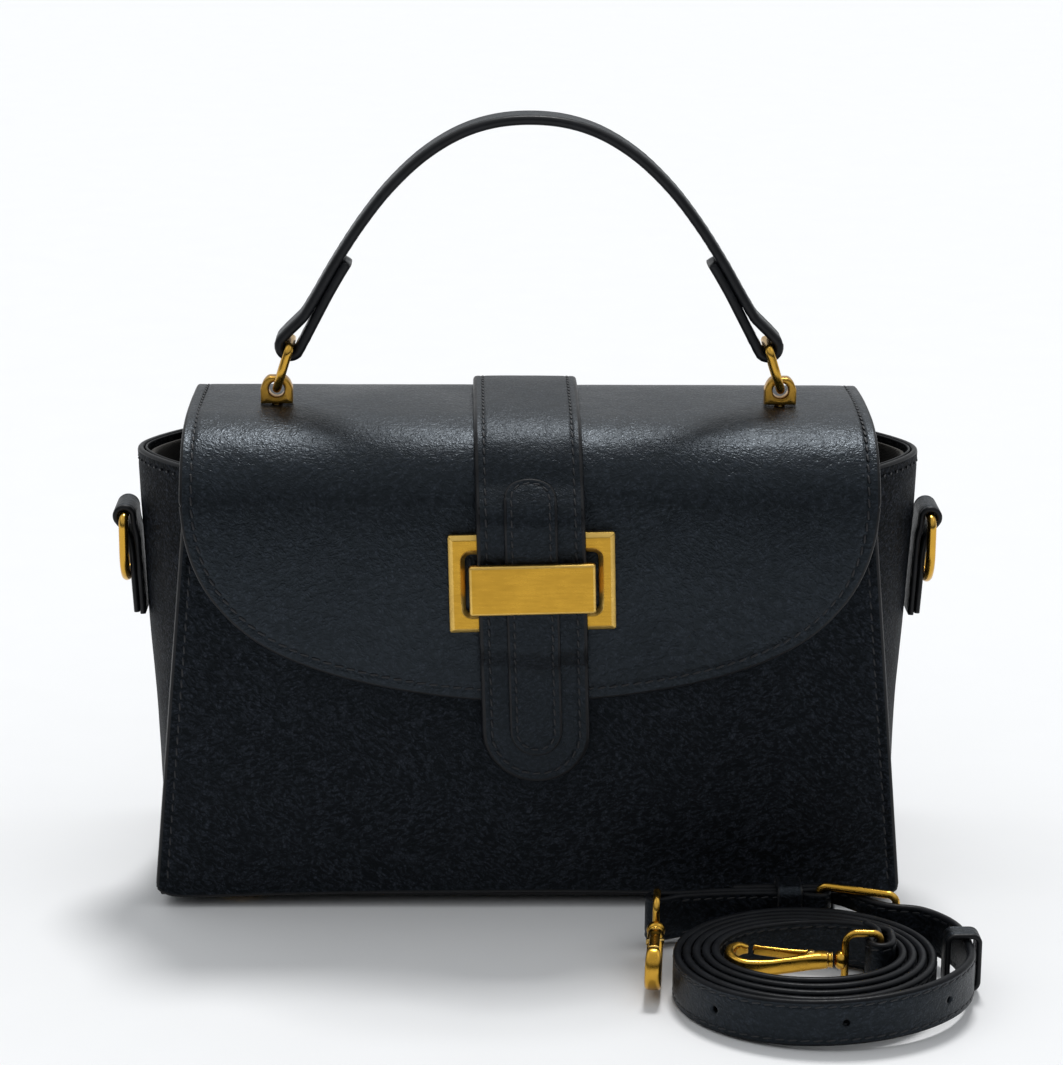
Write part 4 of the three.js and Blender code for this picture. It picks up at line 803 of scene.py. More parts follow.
# ------------------------------------------------------------------ closure strap and its overlay
tan_lean = math.tan(LOCK_TILT * 1.25)
shear = lambda z: LOCK_X - tan_lean * (z - LOCK_Z)
frame_top, frame_bot = LOCK_Z + LOCK_H / 2, LOCK_Z - LOCK_H / 2
_pz = prof.s > 60
prof_s_of_z = lambda z: np.interp(-z, -prof.D[_pz, 2], prof.s[_pz])
pts = []
s = 12.5
while s < prof_s_of_z(76):
    p, t = prof.at(s), prof.tan(s, 0.4)
    n = np.array([0, t[2], -t[1]])
    off = GAP + 1.5 * math.exp(-(((p[1] - 20) / 22) ** 2)) * float(step(s, 12, 22))
    q = p + n * off
    if p[1] < -30:
        over = float(step(p[2], frame_bot - 13, frame_bot - 3) * (1 - step(p[2], frame_top + 3, frame_top + 15)))
        q[1] += (min(q[1], -54.0) - q[1]) * over
    pts.append(q)
    s += 3.2
pts += [np.array(p, float) for p in ((0, -50.2, 70), (0, -49.9, 62), (0, -49.5, 54), (0, -49.1, 45.4))]
strap = Curve(pts)
_sz = strap.s > 70
strap_s_of_z = lambda z: np.interp(-z, -strap.D[_sz, 2], strap.s[_sz])


def strap_point(v, s, width, off):
    p, n = strap.at(s), normal_yz(strap, s)
    q = p + n * np.asarray(off)[..., None]
    q[..., 0] = shear(p[..., 2]) + v * width / 2
    return q, n


def strip(name, width, s0, s1, lo, hi, round0, round1, inset, groove, crown, nv, nr_, body, hides, mats):
    t = hi - lo
    w = width - t * 0.8
    r = w / 2
    v = np.sin(np.linspace(-math.pi / 2, math.pi / 2, nv) * 0.96) / math.sin(math.pi / 2 * 0.96)
    cut = r * (1 - np.sqrt(np.clip(1 - (v * 0.995) ** 2, 0, 1)))
    a = s0 + (cut if round0 else cut * 0) + t * 0.4
    b = s1 - (cut if round1 else cut * 0) - t * 0.4
    S = a[None] + (b - a)[None] * np.linspace(0, 1, nr_)[:, None]
    VV = np.repeat(v[None], nr_, 0)
    P, N = strap_point(VV, S, w, np.full(S.shape, (lo + hi) / 2))
    ex = (1 - np.abs(VV)) * w / 2 + t * 0.4
    if round1:
        c = s1 - width / 2
        ex = np.where(S > c, width / 2 - np.sqrt((VV * w / 2) ** 2 + (S - c) ** 2), ex)
    if round0:
        c = s0 + width / 2
        ex = np.where(S < c, width / 2 - np.sqrt((VV * w / 2) ** 2 + (S - c) ** 2), ex)
    d = -groove * np.exp(-((ex - inset) / 0.5) ** 2) + crown * (1 - np.exp(-np.clip(ex - inset, 0, None) / 2.5)) + wobble(P, 9, 0.05, 5.5)
    ob = shell(name, P, t, mats, out=N, disp=d, body=body, hides=hides, slot="leather")
    # stitch path
    run = []
    q = width / 2 - inset
    sa = s0 + (width / 2 if round0 else inset * 0.6)
    sb = s1 - (width / 2 if round1 else inset)
    L = [(-q, x) for x in np.linspace(sa, sb, 200)]
    if round1:
        L += [(-q * math.cos(x), sb + q * math.sin(x)) for x in np.linspace(0, math.pi, 40)[1:-1]]
    L += [(q, x) for x in np.linspace(sb, sa, 200)]
    if round0:
        L += [(q * math.cos(x), sa - q * math.sin(x)) for x in np.linspace(0, math.pi, 40)[1:]]
    L = np.array(L)
    p, n = strap_point(L[:, 0] * 2 / width, L[:, 1], width, np.full(len(L), hi - 0.08))
    return ob, p, n


PAIR = [LEATHER_STRAP, EDGE, LEATHER_IN]
_, p, n = strip("closure_strap_leather", STRAP_W, 0, strap.len, 0.05, STRAP_T, False, True, 3.0, 0.3, 0.12, 60, 260, "flap", ["closure_strap"], PAIR)
stitches("closure_strap_stitches", [(p, n, dict(pitch=3.7, length=2.7, r=0.38))], "flap")
o0, o1 = float(strap_s_of_z(146)), float(strap_s_of_z(55.4))
_, p, n = strip("strap_overlay_leather", OVERLAY_W, o0, o1, STRAP_T + 0.22, STRAP_T + OVERLAY_GAP + OVERLAY_T, True, True, 2.3, 0.25, 0.10, 44, 170, "flap", ["strap_overlay"], PAIR)
stitches("strap_overlay_stitches", [(p, n, dict(pitch=3.4, length=2.5, r=0.35))], "flap")


# ------------------------------------------------------------------ lock
def rrect(w, h, r, k=8):
    x, y, out = w / 2 - r, h / 2 - r, []
    for cx, cy, a0 in ((x, y, 0), (-x, y, 90), (-x, -y, 180), (x, -y, 270)):
        for i in range(k + 1):
            a = rad(a0 + 90 * i / k)
            out.append((cx + r * math.cos(a), cy + r * math.sin(a)))
    return np.array(out)


def lock_frame_xyz(P2, y):
    """Points of the lock's own plane (right, up) at depth y."""
    c, s_ = math.cos(-LOCK_TILT), math.sin(-LOCK_TILT)
    P2 = np.asarray(P2, float)
    # the same turn as the solid parts: about +Y by -tilt
    X = LOCK_X + P2[:, 0] * c + P2[:, 1] * s_
    Z = LOCK_Z - P2[:, 0] * s_ + P2[:, 1] * c
    return np.stack([X, np.full(len(P2), 0.0) + y, Z], 1)


def ring_plate(name, outer, inner, yb, yf, bevel, mats, body, hides, slot, place):
    """A cast rectangular frame: flat face, broad chamfers, all corners broken. outer and inner are (w, h, corner radius)."""
    prof_ = [(0, bevel * 0.72 + 0.35), (0.03, bevel * 0.72 + 0.12), (0.16, bevel * 0.72 - 0.10), (bevel - 0.22, 0.10), (bevel - 0.02, 0.015), (bevel + 0.25, 0)]
    w, h, R = outer
    wi, hi_, ri = inner
    o_ = lambda q: rrect(w - 2 * q, h - 2 * q, max(R - q, 0.12))
    i_ = lambda q: rrect(wi + 2 * q, hi_ + 2 * q, ri + q)
    rows = [place(o_(0), yb - 0.01)] + [place(o_(q), yf + d_) for q, d_ in prof_]
    rows += [place(i_(q), yf + d_) for q, d_ in prof_[::-1]] + [place(i_(0), yb - 0.01)]
    V = np.concatenate(rows)
    k = len(rows[0])
    n_ = len(rows)
    F, mi = [], []
    for i in range(n_):
        for j in range(k):
            l = (j + 1) % k
            F.append((i * k + j, i * k + l, ((i + 1) % n_) * k + l, ((i + 1) % n_) * k + j))
            # the chamfer rows take the second material, the lighter brass with the painted highlight
            mi.append(1 if i in (2, 3, 4, n_ - 6, n_ - 5, n_ - 4) else 0)
    return make(name, V, F, mats, mi, body=body, hides=hides, slot=slot)


FRAME_BACK = -50.75
ring_plate("lock_frame_brass", (LOCK_W, LOCK_H, 0.9), (43.5, 19.8, 1.9), FRAME_BACK, FRAME_BACK - LOCK_T, 1.6, [BRASS_X, BRASS_HIGHLIGHT_EDGE], "flap", ["lock_frame"], "brass", lock_frame_xyz)


def block_parts(P2, y0, y1, bevel, place, belly=0.0, grid=14):
    """A plate with rounded front and back edges and a slightly crowned front."""
    k = len(P2)
    c = P2.mean(0)
    rows = []
    T = unit(np.roll(P2, -1, 0) - np.roll(P2, 1, 0))
    nn = np.stack([T[:, 1], -T[:, 0]], 1)
    for a in np.linspace(math.pi / 2, 0, 5):
        rows.append(place(P2 - nn * bevel * (1 - math.cos(a)), y1 - bevel * (1 - math.sin(a))))
    for a in np.linspace(0, math.pi / 2, 5):
        rows.append(place(P2 - nn * bevel * (1 - math.cos(a)), y0 + bevel * (1 - math.sin(a))))
    ins = P2 - nn * bevel
    for q in (0.985, 0.93, 0.8, 0.6, 0.35, 0.12):
        rows.append(place(c + (ins - c) * q, y0 - belly * (1 - q ** 2)))
    V = np.concatenate(rows + [place(c[None], y0 - belly), place(c[None], y1)])
    F = []
    for i in range(len(rows) - 1):
        for j in range(k):
            l = (j + 1) % k
            F.append((i * k + j, i * k + l, (i + 1) * k + l, (i + 1) * k + j))
    for j in range(k):
        l = (j + 1) % k
        F.append(((len(rows) - 1) * k + j, (len(rows) - 1) * k + l, len(rows) * k))
        F.append((l, j, len(rows) * k + 1))
    # the front bevel rows take the second material, which for the lock bar is the lighter brass with the painted
    # highlight
    mi = [1 if 5 <= i <= 8 else 0 for i in range(len(rows) - 1) for _ in range(k)]
    return V, F, mi + [0] * (len(F) - len(mi))


face = float(strap.at(strap_s_of_z(LOCK_Z))[1]) - STRAP_T - OVERLAY_GAP - OVERLAY_T
BAR_BACK = face - GAP - 0.15
parts = [block_parts(rrect(41, 16.6, 1.0, 6), BAR_BACK - 3.2, BAR_BACK, 0.85, lock_frame_xyz, belly=0.15)]
for sgn in (-1, 1):
    leg = rrect(1.9, 9.0, 0.5, 3) + np.array([sgn * 19.3, 0])
    parts.append(block_parts(leg, BAR_BACK - 0.8, FRAME_BACK - 0.02, 0.2, lock_frame_xyz))
V, F, mi = join_parts(parts)
make("lock_bar_brass", V, F, [BRASS_X, BRASS_HIGHLIGHT_EDGE], mi, body="flap", hides=["lock_bar"], slot="brass")


# ------------------------------------------------------------------ wire rings
def wire(P, nrm, r, k=16, closed=True, n=None, soft=2):
    P = rounded(P, soft, closed) if soft else np.asarray(P, float)
    if n:
        P = resample(P, n, closed)
    C, A, B = planar_frames(P, nrm, closed)
    return sweep_mesh(C, A, B, circle(r, k), closed)


ring_bottom_z = LUG_EYE_Z + 0.1
RING_C = np.array([LUG_X - RING_R * math.sin(RING_LEAN), 0, ring_bottom_z + RING_R * math.cos(RING_LEAN)])
ring_axis = np.array([-math.sin(RING_LEAN), 0, math.cos(RING_LEAN)])
RING_BAR = RING_C + ring_axis * RING_TOP


def arc(cx, cy, r, a0, a1, k):
    return [(cx + r * math.cos(a0 + (a1 - a0) * i / k), cy + r * math.sin(a0 + (a1 - a0) * i / k)) for i in range(k + 1)]


PI = math.pi
for side, nm in ((-1, "left"), (1, "right")):
    rc = 2.4
    loop = arc(0, 0, RING_R, -PI, 0, 40) + arc(RING_R - rc, RING_TOP - rc, rc, 0, PI / 2, 10) + arc(-RING_R + rc, RING_TOP - rc, rc, PI / 2, PI, 10)
    P = np.array([[RING_C[0] + ring_axis[0] * h, y, RING_C[2] + ring_axis[2] * h] for y, h in loop])
    P[:, 0] *= side
    nrm = np.array([side * ring_axis[2], 0, -ring_axis[0]])
    if side < 0:
        nrm = np.array([ring_axis[2], 0, ring_axis[0]])
    V, F, mi = wire(P, unit(nrm), RING_WIRE_R, 18, True, 120, 1)
    make(f"handle_ring_{nm}_brass", V, F, [BRASS_WIRE], mi, body="handle", hides=[f"handle_ring_{nm}"], slot="brass")

# lugs: cast blocks with a round eye, soft edges
LUG_BASE = max(prof.D[:, 2]) + GAP
for side, nm in ((-1, "left"), (1, "right")):
    w, top = 5.4, LUG_EYE_Z + 4.4
    out2 = [(-w, LUG_BASE), (w, LUG_BASE), (w, LUG_EYE_Z + 0.4)] + [(x, min(z, top)) for x, z in arc(0, LUG_EYE_Z, 5.2, 0.35, PI - 0.35, 14)] + [(-w, LUG_EYE_Z + 0.4)]
    K = 72
    out2 = resample(np.array(out2), K, True)
    ang = np.arctan2(out2[:, 1] - LUG_EYE_Z, out2[:, 0])
    hole = np.stack([LUG_EYE_R * np.cos(ang), LUG_EYE_Z + LUG_EYE_R * np.sin(ang)], 1)
    rows = []
    cen2 = np.array([0, 166.5])
    for d, ins in ((-2.5, 0.55), (-2.38, 0.25), (-2.0, 0.05), (-1.4, 0), (1.4, 0), (2.0, 0.05), (2.38, 0.25), (2.5, 0.55)):
        q = out2 - unit(out2 - cen2) * ins
        rows.append(np.stack([side * LUG_X + q[:, 0], np.full(K, d), q[:, 1]], 1))
    for d, ins in ((2.5, 0.5), (2.35, 0.2), (1.9, 0.0), (-1.9, 0.0), (-2.35, 0.2), (-2.5, 0.5)):
        q = hole + unit(hole - np.array([0, LUG_EYE_Z])) * ins
        rows.append(np.stack([side * LUG_X + q[:, 0], np.full(K, d), q[:, 1]], 1))
    V = np.concatenate(rows)
    F = [(i * K + j, i * K + (j + 1) % K, ((i + 1) % len(rows)) * K + (j + 1) % K, ((i + 1) % len(rows)) * K + j) for i in range(len(rows)) for j in range(K)]
    post = np.array([[side * LUG_X, 0, LUG_BASE + 0.3], [side * LUG_X, 0, 157.7]])
    PV, PF, PM = sweep_mesh(post, np.array([[1, 0, 0]] * 2), np.array([[0, 1, 0]] * 2), circle(1.8, 16))
    V, F, mi = join_parts([(V, F, [0] * len(F)), (PV, PF, PM)])
    make(f"handle_lug_{nm}_brass", V, F, [BRASS_CAST], mi, body="flap", hides=[f"handle_lug_{nm}"], slot="brass")

# ------------------------------------------------------------------ handle: one strap turned round its rings, ends sewn back on the inside
HANDLE_OUT = [[0, 260.4], [12.5, 259.2], [24, 255.4], [36, 248.0], [47.5, 237.2], [57, 225.2], [66, 211.4], [74.5, 196.8], [80.6, 187.4]]
hc = Curve([(-x, 0, z) for x, z in HANDLE_OUT[:0:-1]] + [(x, 0, z) for x, z in HANDLE_OUT])
hs = np.linspace(0, hc.len, 400)
hp, ht = hc.at(hs), hc.tan(hs, 0.8)
h_in = np.stack([ht[:, 2] * 1.0, np.zeros(400), -ht[:, 0]], 1)     # towards the inside of the arch
if h_in[200][2] > 0:
    h_in = -h_in
mid = hp + h_in * (HANDLE_T / 2)
tailp = hp + h_in * (HANDLE_T * 1.5 + 0.02)
right = [p for p in mid[200:] if p[2] > RING_BAR[2] + 9.0]
bx, bz = RING_BAR[0], RING_BAR[2]
rl = RING_WIRE_R + 0.4 + HANDLE_T / 2
loop = [np.array([bx + rl * math.cos(a), 0, bz + rl * math.sin(a)]) for a in np.linspace(0.55, -PI + 0.30, 22)]
tail = [p for p in tailp[::-1] if p[0] > 0 and 199.5 < p[2] < 211.0]
half_path = np.array(right + loop + tail)
# ease the joins
full = np.concatenate([(half_path * [-1, 1, 1])[::-1], half_path[1:]])
cv = Curve(full[:: 3] if len(full) % 3 == 1 else np.concatenate([full[::3], full[-1:]]), 6000)
C = cv.at(np.linspace(0, cv.len, 620))
C, A, B = planar_frames(C, (0, 1, 0))
sec, fl = strap_section(HANDLE_W, HANDLE_T - 0.1, inset=2.1, groove=0.22, r=1.25, crown=0.12)
V, F, mi = sweep_mesh(C, A, B, sec, False, fl)
make("handle_leather", V, F, [LEATHER_HANDLE, EDGE], mi, body="handle", hides=["handle_strap"], slot="leather")
runs = []
sgn_out = 1 if A[310][2] > 0 else -1
sel = slice(52, 620 - 52)
for w in (-1, 1):
    for f_, s_ in ((sgn_out, sel), (-sgn_out, sel)):
        q = C[s_] + A[s_] * f_ * (HANDLE_T / 2 - 0.10) + B[s_] * w * (HANDLE_W / 2 - 2.1)
        runs.append((q, A[s_] * f_, dict(pitch=3.6, length=2.6, r=0.34, sink=0.04)))
stitches("handle_stitches", runs, "handle")

# ------------------------------------------------------------------ side tabs and D-rings
bar_x = float(np.interp(DRING_BAR_Z, [a for a, _ in APEX], [b for _, b in APEX])) + 0.35 + 5.0
xg = lambda z: table(APEX, z) + 0.35
for side, nm in ((-1, "left"), (1, "right")):
    r_ = DRING_WIRE_R + 0.35 + 1.0
    path = [(xg(90.5) + 1.15, 90.3), (xg(97) + 1.15, 97), (xg(105) + 1.15, 105), (xg(112) + 1.2, 112), (xg(117) + 1.35, 117.5), (bar_x - r_ - 0.35, 120.8)]
    path += [(bar_x + r_ * math.cos(a), DRING_BAR_Z + r_ * math.sin(a)) for a in np.linspace(PI + 0.1, -0.5, 16)]
    path += [(xg(118) + 4.5, 118.4), (xg(114) + 3.55, 114), (xg(105) + 3.3, 105), (xg(97) + 3.25, 97), (xg(91) + 3.2, 90.9)]
    P3 = np.array([(x, 0, z) for x, z in path])
    cv2 = Curve(P3, 2500)
    C = cv2.at(np.linspace(0, cv2.len, 170))
    C[:, 0] *= side
    C, A, B = planar_frames(C, (0, 1, 0))
    sec, fl = strap_section(17, 1.95, inset=2.2, groove=0.15, r=0.8)
    V, F, mi = sweep_mesh(C, A, B, sec, False, fl)
    make(f"dring_tab_{nm}_leather", V, F, [LEATHER_STRAP, EDGE], mi, body="bag_body", hides=[f"dring_tab_{nm}"], slot="leather")
    outward = 1 if A[-20][0] * side > 0 else -1
    m = C[:, 2] < 116.0
    m &= np.arange(170) > 90
    runs = []
    for w in (-1, 1):
        q = C[m] + A[m] * outward * 0.9 + B[m] * w * (8.5 - 2.2)
        runs.append((q, A[m] * outward, dict(pitch=3.4, length=2.5, r=0.34)))
    i0 = np.where(m)[0]
    for j in (i0[2], i0[-9]):
        q = np.stack([C[j] + A[j] * outward * 0.9 + np.array([0, w, 0]) for w in np.linspace(-6.3, 6.3, 12)])
        runs.append((q, np.repeat((A[j] * outward)[None], 12, 0), dict(pitch=3.2, length=2.4, r=0.34)))
    stitches(f"dring_tab_{nm}_stitches", runs, "bag_body")
    hw, H, rc = 11.2, 22.6, 3.0
    loop = arc(hw - rc, rc, rc, -PI / 2, 0, 10) + arc(0, H - hw, hw, 0, PI, 44) + arc(-hw + rc, rc, rc, PI, 1.5 * PI, 10)
    P = np.array([[side * bar_x, y, DRING_BAR_Z - h] for y, h in loop])
    V, F, mi = wire(P, (1, 0, 0), DRING_WIRE_R, 18, True, 120, 1)
    make(f"dring_{nm}_brass", V, F, [BRASS_WIRE], mi, body=f"dring_{nm}", hides=[f"dring_{nm}"], slot="brass")

# ------------------------------------------------------------------ shoulder strap
XR = [[-0.2, 139.0], [0, 137.4], [1, 125.6], [2, 122.6], [3, 119.6], [4, 116.6], [5, 113.6]]
YF = [[0, -166.5], [0.25, -165.2], [1.25, -160], [2.25, -155], [3.25, -150], [4.25, -145]]
XL = [[0, 44.4], [0.5, 45.4], [1.5, 48.5], [2.5, 51.6], [3.5, 54.7], [4.5, 57.8]]
YB = [[0, -86.0], [0.75, -87.4], [1.75, -90.4], [2.75, -93.4], [3.75, -96.4], [4.75, -99.4]]


def coil_point(t):
    xr, yf, xl, yb, phi = table(XR, t), table(YF, t), table(XL, t), table(YB, t), -2 * PI * t
    return [(xr + xl) / 2 + (xr - xl) / 2 * math.cos(phi), (yf + yb) / 2 + (yb - yf) / 2 * math.sin(phi)]


BL, BR = np.array([94.5, -79.6]), np.array([118.5, -88.6])
be_L = float(np.linalg.norm(BR - BL))
be_e = (BR - BL) / be_L
be_n = np.array([be_e[1], -be_e[0]])
at_b = lambda f, o: list(BL + be_e * f * be_L + be_n * o)
LOOP_A = [109.7, -120.7]
LOOP_B = [41.4, -83.2]
cp = [[66, -74.9], [72, -74.4], [79, -74.1], [86, -74.1], at_b(0, -5.7), at_b(0.22, -5.2), at_b(0.5, -1.6), at_b(0.78, 2.2), at_b(1.0, 3.1), [125.2, -93.6], [131.6, -100.0], [135.8, -109.0]]
t = 0.02
while t < 4.86:
    cp.append(coil_point(t))
    t += 1 / 26
cp += [[113.2, -111.6], [113.6, -116.4], [113.3, -121.0], [111.6, -124.3], [108.4, -124.6], [106.2, -121.4], [107.4, -117.2], [109.7, -113.2], [108.6, -108.6], [106.2, -105.2]]
cc = Curve([(x, y, 0) for x, y in cp], 12000)


def carry_height(s):
    a, b = 1 - step(s, 125, 215), step(s, cc.len - 80, cc.len - 34)
    return CARRY_W / 2 + 0.05 + (CARRY_Z - CARRY_W / 2 - 0.05) * np.maximum(a, b)


nC = 1100
cs = np.linspace(0.6, cc.len - 0.6, nC)
C = cc.at(cs)
C[:, 2] = carry_height(cs)
T = cc.tan(cs, 0.6)
A = unit(np.stack([T[:, 1], -T[:, 0], np.zeros(nC)], 1))
B = np.repeat([[0.0, 0.0, 1.0]], nC, 0)
sec, fl = strap_section(CARRY_W, CARRY_T - 0.05, inset=2.0, groove=0.18, r=0.9)
V, F, mi = sweep_mesh(C, A, B, sec, False, fl)
carry = make("shoulder_strap_leather", V, F, [LEATHER_STRAP, EDGE_COIL], mi, body="shoulder_strap", hides=["shoulder_strap"], slot="leather")


def cut_with(ob, name, verts, faces):
    c = make(name, verts, faces, [DARK])
    m = ob.modifiers.new("cut", "BOOLEAN")
    m.operation, m.solver, m.object = "DIFFERENCE", "EXACT", c
    deps = bpy.context.evaluated_depsgraph_get()
    me = bpy.data.meshes.new_from_object(ob.evaluated_get(deps))
    ob.modifiers.remove(m)
    old = ob.data
    ob.data = me
    bpy.data.meshes.remove(old)
    cm = c.data
    bpy.data.objects.remove(c)
    bpy.data.meshes.remove(cm)


def box_vf(cx, cy, cz, dx, dy, dz, ang):
    ca, sa = math.cos(ang), math.sin(ang)
    V = []
    for k_ in (-0.5, 0.5):
        for j in (-0.5, 0.5):
            for i in (-0.5, 0.5):
                a, b = i * dx, j * dy
                V.append((cx + a * ca - b * sa, cy + a * sa + b * ca, cz + k_ * dz))
    return V, [(0, 2, 3, 1), (4, 5, 7, 6), (0, 1, 5, 4), (2, 6, 7, 3), (0, 4, 6, 2), (1, 3, 7, 5)]


def rod_vf(p, d, r, L, k=20):
    d = unit(np.asarray(d, float))
    a = unit(np.cross(d, (0, 0, 1.0) if abs(d[2]) < 0.9 else (1.0, 0, 0)))
    b = np.cross(d, a)
    C_ = np.array([np.asarray(p) - d * L / 2, np.asarray(p) + d * L / 2])
    v, f, _ = sweep_mesh(C_, np.array([a, a]), np.array([b, b]), circle(r, k))
    return v, f


ang_b = math.atan2(be_e[1], be_e[0])
hx_, hy_ = at_b(0.46, -2.0)
cv_, cf_ = box_vf(hx_, hy_, CARRY_Z, 16.5, 11, 3.2, ang_b)
cut_with(carry, "cut_slot", cv_, cf_)
near = lambda x, y: cs[np.where((cs > 100) & (cs < 330))[0]][np.argmin(np.hypot(C[(cs > 100) & (cs < 330), 0] - x, C[(cs > 100) & (cs < 330), 1] - y))]
for x, y in ((58.5, -150), (94, -166), (128, -152)):
    s_ = float(near(x, y))
    p = cc.at(s_)
    p[2] = float(carry_height(s_))
    tt = cc.tan(s_)
    cv_, cf_ = rod_vf(p, (tt[1], -tt[0], 0), 1.15, 8)
    cut_with(carry, "cut_hole", cv_, cf_)
runs = []
for w in (-1, 1):
    for f_ in (-1, 1):
        sel = (cs > 4) & (cs < cc.len - 4)
        q = C[sel] + A[sel] * f_ * (CARRY_T / 2 - 0.10) + B[sel] * w * (CARRY_W / 2 - 2.0)
        runs.append((q, A[sel] * f_, dict(pitch=3.9, length=2.9, r=0.34, sink=0.05)))
stitches("shoulder_strap_stitches", runs, "shoulder_strap")

# short end: a closed loop of two layers round the buckle's bar and the outer hook's loop
c2 = Curve([(LOOP_B[0], LOOP_B[1], 0), (50, -81.2, 0), (64, -79.4, 0), (80, -78.7, 0), (BL[0], BL[1], 0)], 2500)
ss = np.linspace(0, c2.len, 90)
p2, t2 = c2.at(ss), c2.tan(ss, 0.5)
hh = 1.30 + (2.9 - 1.30) * np.maximum(1 - step(ss, 0, 9), step(ss, c2.len - 9, c2.len))
nn2 = np.stack([-t2[:, 1], t2[:, 0], np.zeros(90)], 1)
up, dn = p2 + nn2 * hh[:, None], p2 - nn2 * hh[:, None]
a0, a1 = math.atan2(t2[0][1], t2[0][0]), math.atan2(t2[-1][1], t2[-1][0])
e1 = np.array([[BL[0] + 2.9 * math.cos(a), BL[1] + 2.9 * math.sin(a), 0] for a in np.linspace(a1 - PI / 2, a1 + PI / 2, 18)[1:-1]])
e0 = np.array([[LOOP_B[0] + 2.9 * math.cos(a), LOOP_B[1] + 2.9 * math.sin(a), 0] for a in np.linspace(a0 + PI / 2, a0 + 1.5 * PI, 18)[1:-1]])
Lp = np.concatenate([dn, e1, up[::-1], e0])
Lp = resample(Lp, 260, True)
Lp[:, 2] = CARRY_Z
C2, A2, B2 = planar_frames(Lp, (0, 0, 1), True)
sec, fl = strap_section(CARRY_W, 2.15, inset=2.0, groove=0.15, r=0.9)
V, F, mi = sweep_mesh(C2, A2, B2, sec, True, fl)
short = make("strap_short_leather", V, F, [LEATHER_STRAP, EDGE_COIL], mi, body="shoulder_strap", hides=["strap_short"], slot="leather")
cv_, cf_ = box_vf(BL[0] + 1.6, BL[1] - 0.6, CARRY_Z, 9.4, 14, 4.2, a1)
cut_with(short, "cut_notch", cv_, cf_)
runs = []
for src, f_ in ((dn, -1), (up, 1)):
    for w in (-1, 1):
        q = src[12:-14] + nn2[12:-14] * f_ * 1.0
        q[:, 2] = CARRY_Z + w * (CARRY_W / 2 - 2.0)
        runs.append((q, nn2[12:-14] * f_, dict(pitch=3.6, length=2.7, r=0.34)))
stitches("strap_short_stitches", runs, "shoulder_strap")

# buckle frame and prong
hgt, BW = 9.1, 1.3
rc = 2.5
loop = arc(be_L - rc, hgt - rc, rc, 0, PI / 2, 10) + arc(rc, hgt - rc, rc, PI / 2, PI, 10) + arc(rc, -hgt + rc, rc, PI, 1.5 * PI, 10) + arc(be_L - rc, -hgt + rc, rc, 1.5 * PI, 2 * PI, 10)
P = np.array([[BL[0] + be_e[0] * a, BL[1] + be_e[1] * a, CARRY_Z + h] for a, h in loop])
V, F, mi = wire(P, (be_n[0], be_n[1], 0), BW, 18, True, 130, 1)
make("buckle_frame_brass", V, F, [BRASS_WIRE], mi, body="shoulder_strap", hides=["buckle_frame"], slot="brass")
hub = np.array([[BL[0] + 2.12 * math.cos(a), BL[1] + 2.12 * math.sin(a), CARRY_Z] for a in np.linspace(0, 2 * PI, 40, endpoint=False)])
C3, A3, B3 = planar_frames(hub, (0, 0, 1), True)
sq = np.array([(0.55 * math.copysign(abs(math.cos(a)) ** 0.5, math.cos(a)), 1.45 * math.copysign(abs(math.sin(a)) ** 0.5, math.sin(a))) for a in np.linspace(0, 2 * PI, 16, endpoint=False)])
h1 = sweep_mesh(C3, A3, B3, sq, True)
pa, pb = np.array(at_b(0.10, -0.4) + [CARRY_Z]), np.array(at_b(1.09, -2.75) + [CARRY_Z])
rp = np.array([pa + (pb - pa) * q for q in np.linspace(0, 1, 24)])
rr = np.array([0.95 * (1 - max(0.0, (q - 0.93) / 0.07) ** 2 * 0.65) for q in np.linspace(0, 1, 24)])
C4, A4, B4 = planar_frames(rp, (0, 0, 1))
h2 = sweep_mesh(C4, A4, B4, np.array([circle(r_, 14) for r_ in rr]))
V, F, mi = join_parts([h1, h2])
make("buckle_prong_brass", V, F, [BRASS_WIRE], mi, body="buckle_prong", hides=["buckle_prong"], slot="brass")


def keeper(name, node, cx, cy, angle, in_w, in_h, t_, width):
    w_, h_ = in_w + t_, in_h + t_
    P2 = rrect(w_, h_, 2.3, 8)
    P2 = resample(P2, 110, True)
    ca, sa = math.cos(angle), math.sin(angle)
    P3 = np.array([(cx + a * ca, cy + a * sa, CARRY_Z + b) for a, b in P2])
    C_, A_, B_ = planar_frames(P3, (-sa, ca, 0), True)
    sec_, fl_ = strap_section(width - 0.2, t_ - 0.15, inset=1.6, groove=0.12, r=0.7)
    V_, F_, mi_ = sweep_mesh(C_, A_, B_, sec_, True, fl_)
    make(name, V_, F_, [LEATHER_STRAP, EDGE], mi_, body="shoulder_strap", hides=[node], slot="leather")


keeper("keeper_fixed_leather", "strap_keeper_fixed", 84.6, -77.35, PI / 2, 10.5, 16.0, 1.9, 8.5)
keeper("keeper_sliding_leather", "strap_keeper_sliding", 135.6, -119.5, 0.03, 8.0, 15.8, 1.9, 8.0)


# ------------------------------------------------------------------ snap hooks
def lathe_parts(profile, origin, axis, k=28):
    axis = unit(np.asarray(axis, float))
    a = unit(np.cross(axis, (0, 0, 1.0) if abs(axis[2]) < 0.9 else (0, 1.0, 0)))
    b = np.cross(axis, a)
    pr = rounded(np.array(profile, float), 2, closed=False)
    pr = pr[(pr[:, 0] > 1e-6)]
    C_ = np.array([np.asarray(origin) + axis * z for _, z in pr])
    return sweep_mesh(C_, np.repeat(a[None], len(pr), 0), np.repeat(b[None], len(pr), 0), np.array([circle(r, k) for r, _ in pr]))


def squircle(a, b, k=20, p=0.62):
    q = np.linspace(0, 2 * PI, k, endpoint=False)
    return np.stack([a * np.sign(np.cos(q)) * np.abs(np.cos(q)) ** p, b * np.sign(np.sin(q)) * np.abs(np.sin(q)) ** p], 1)


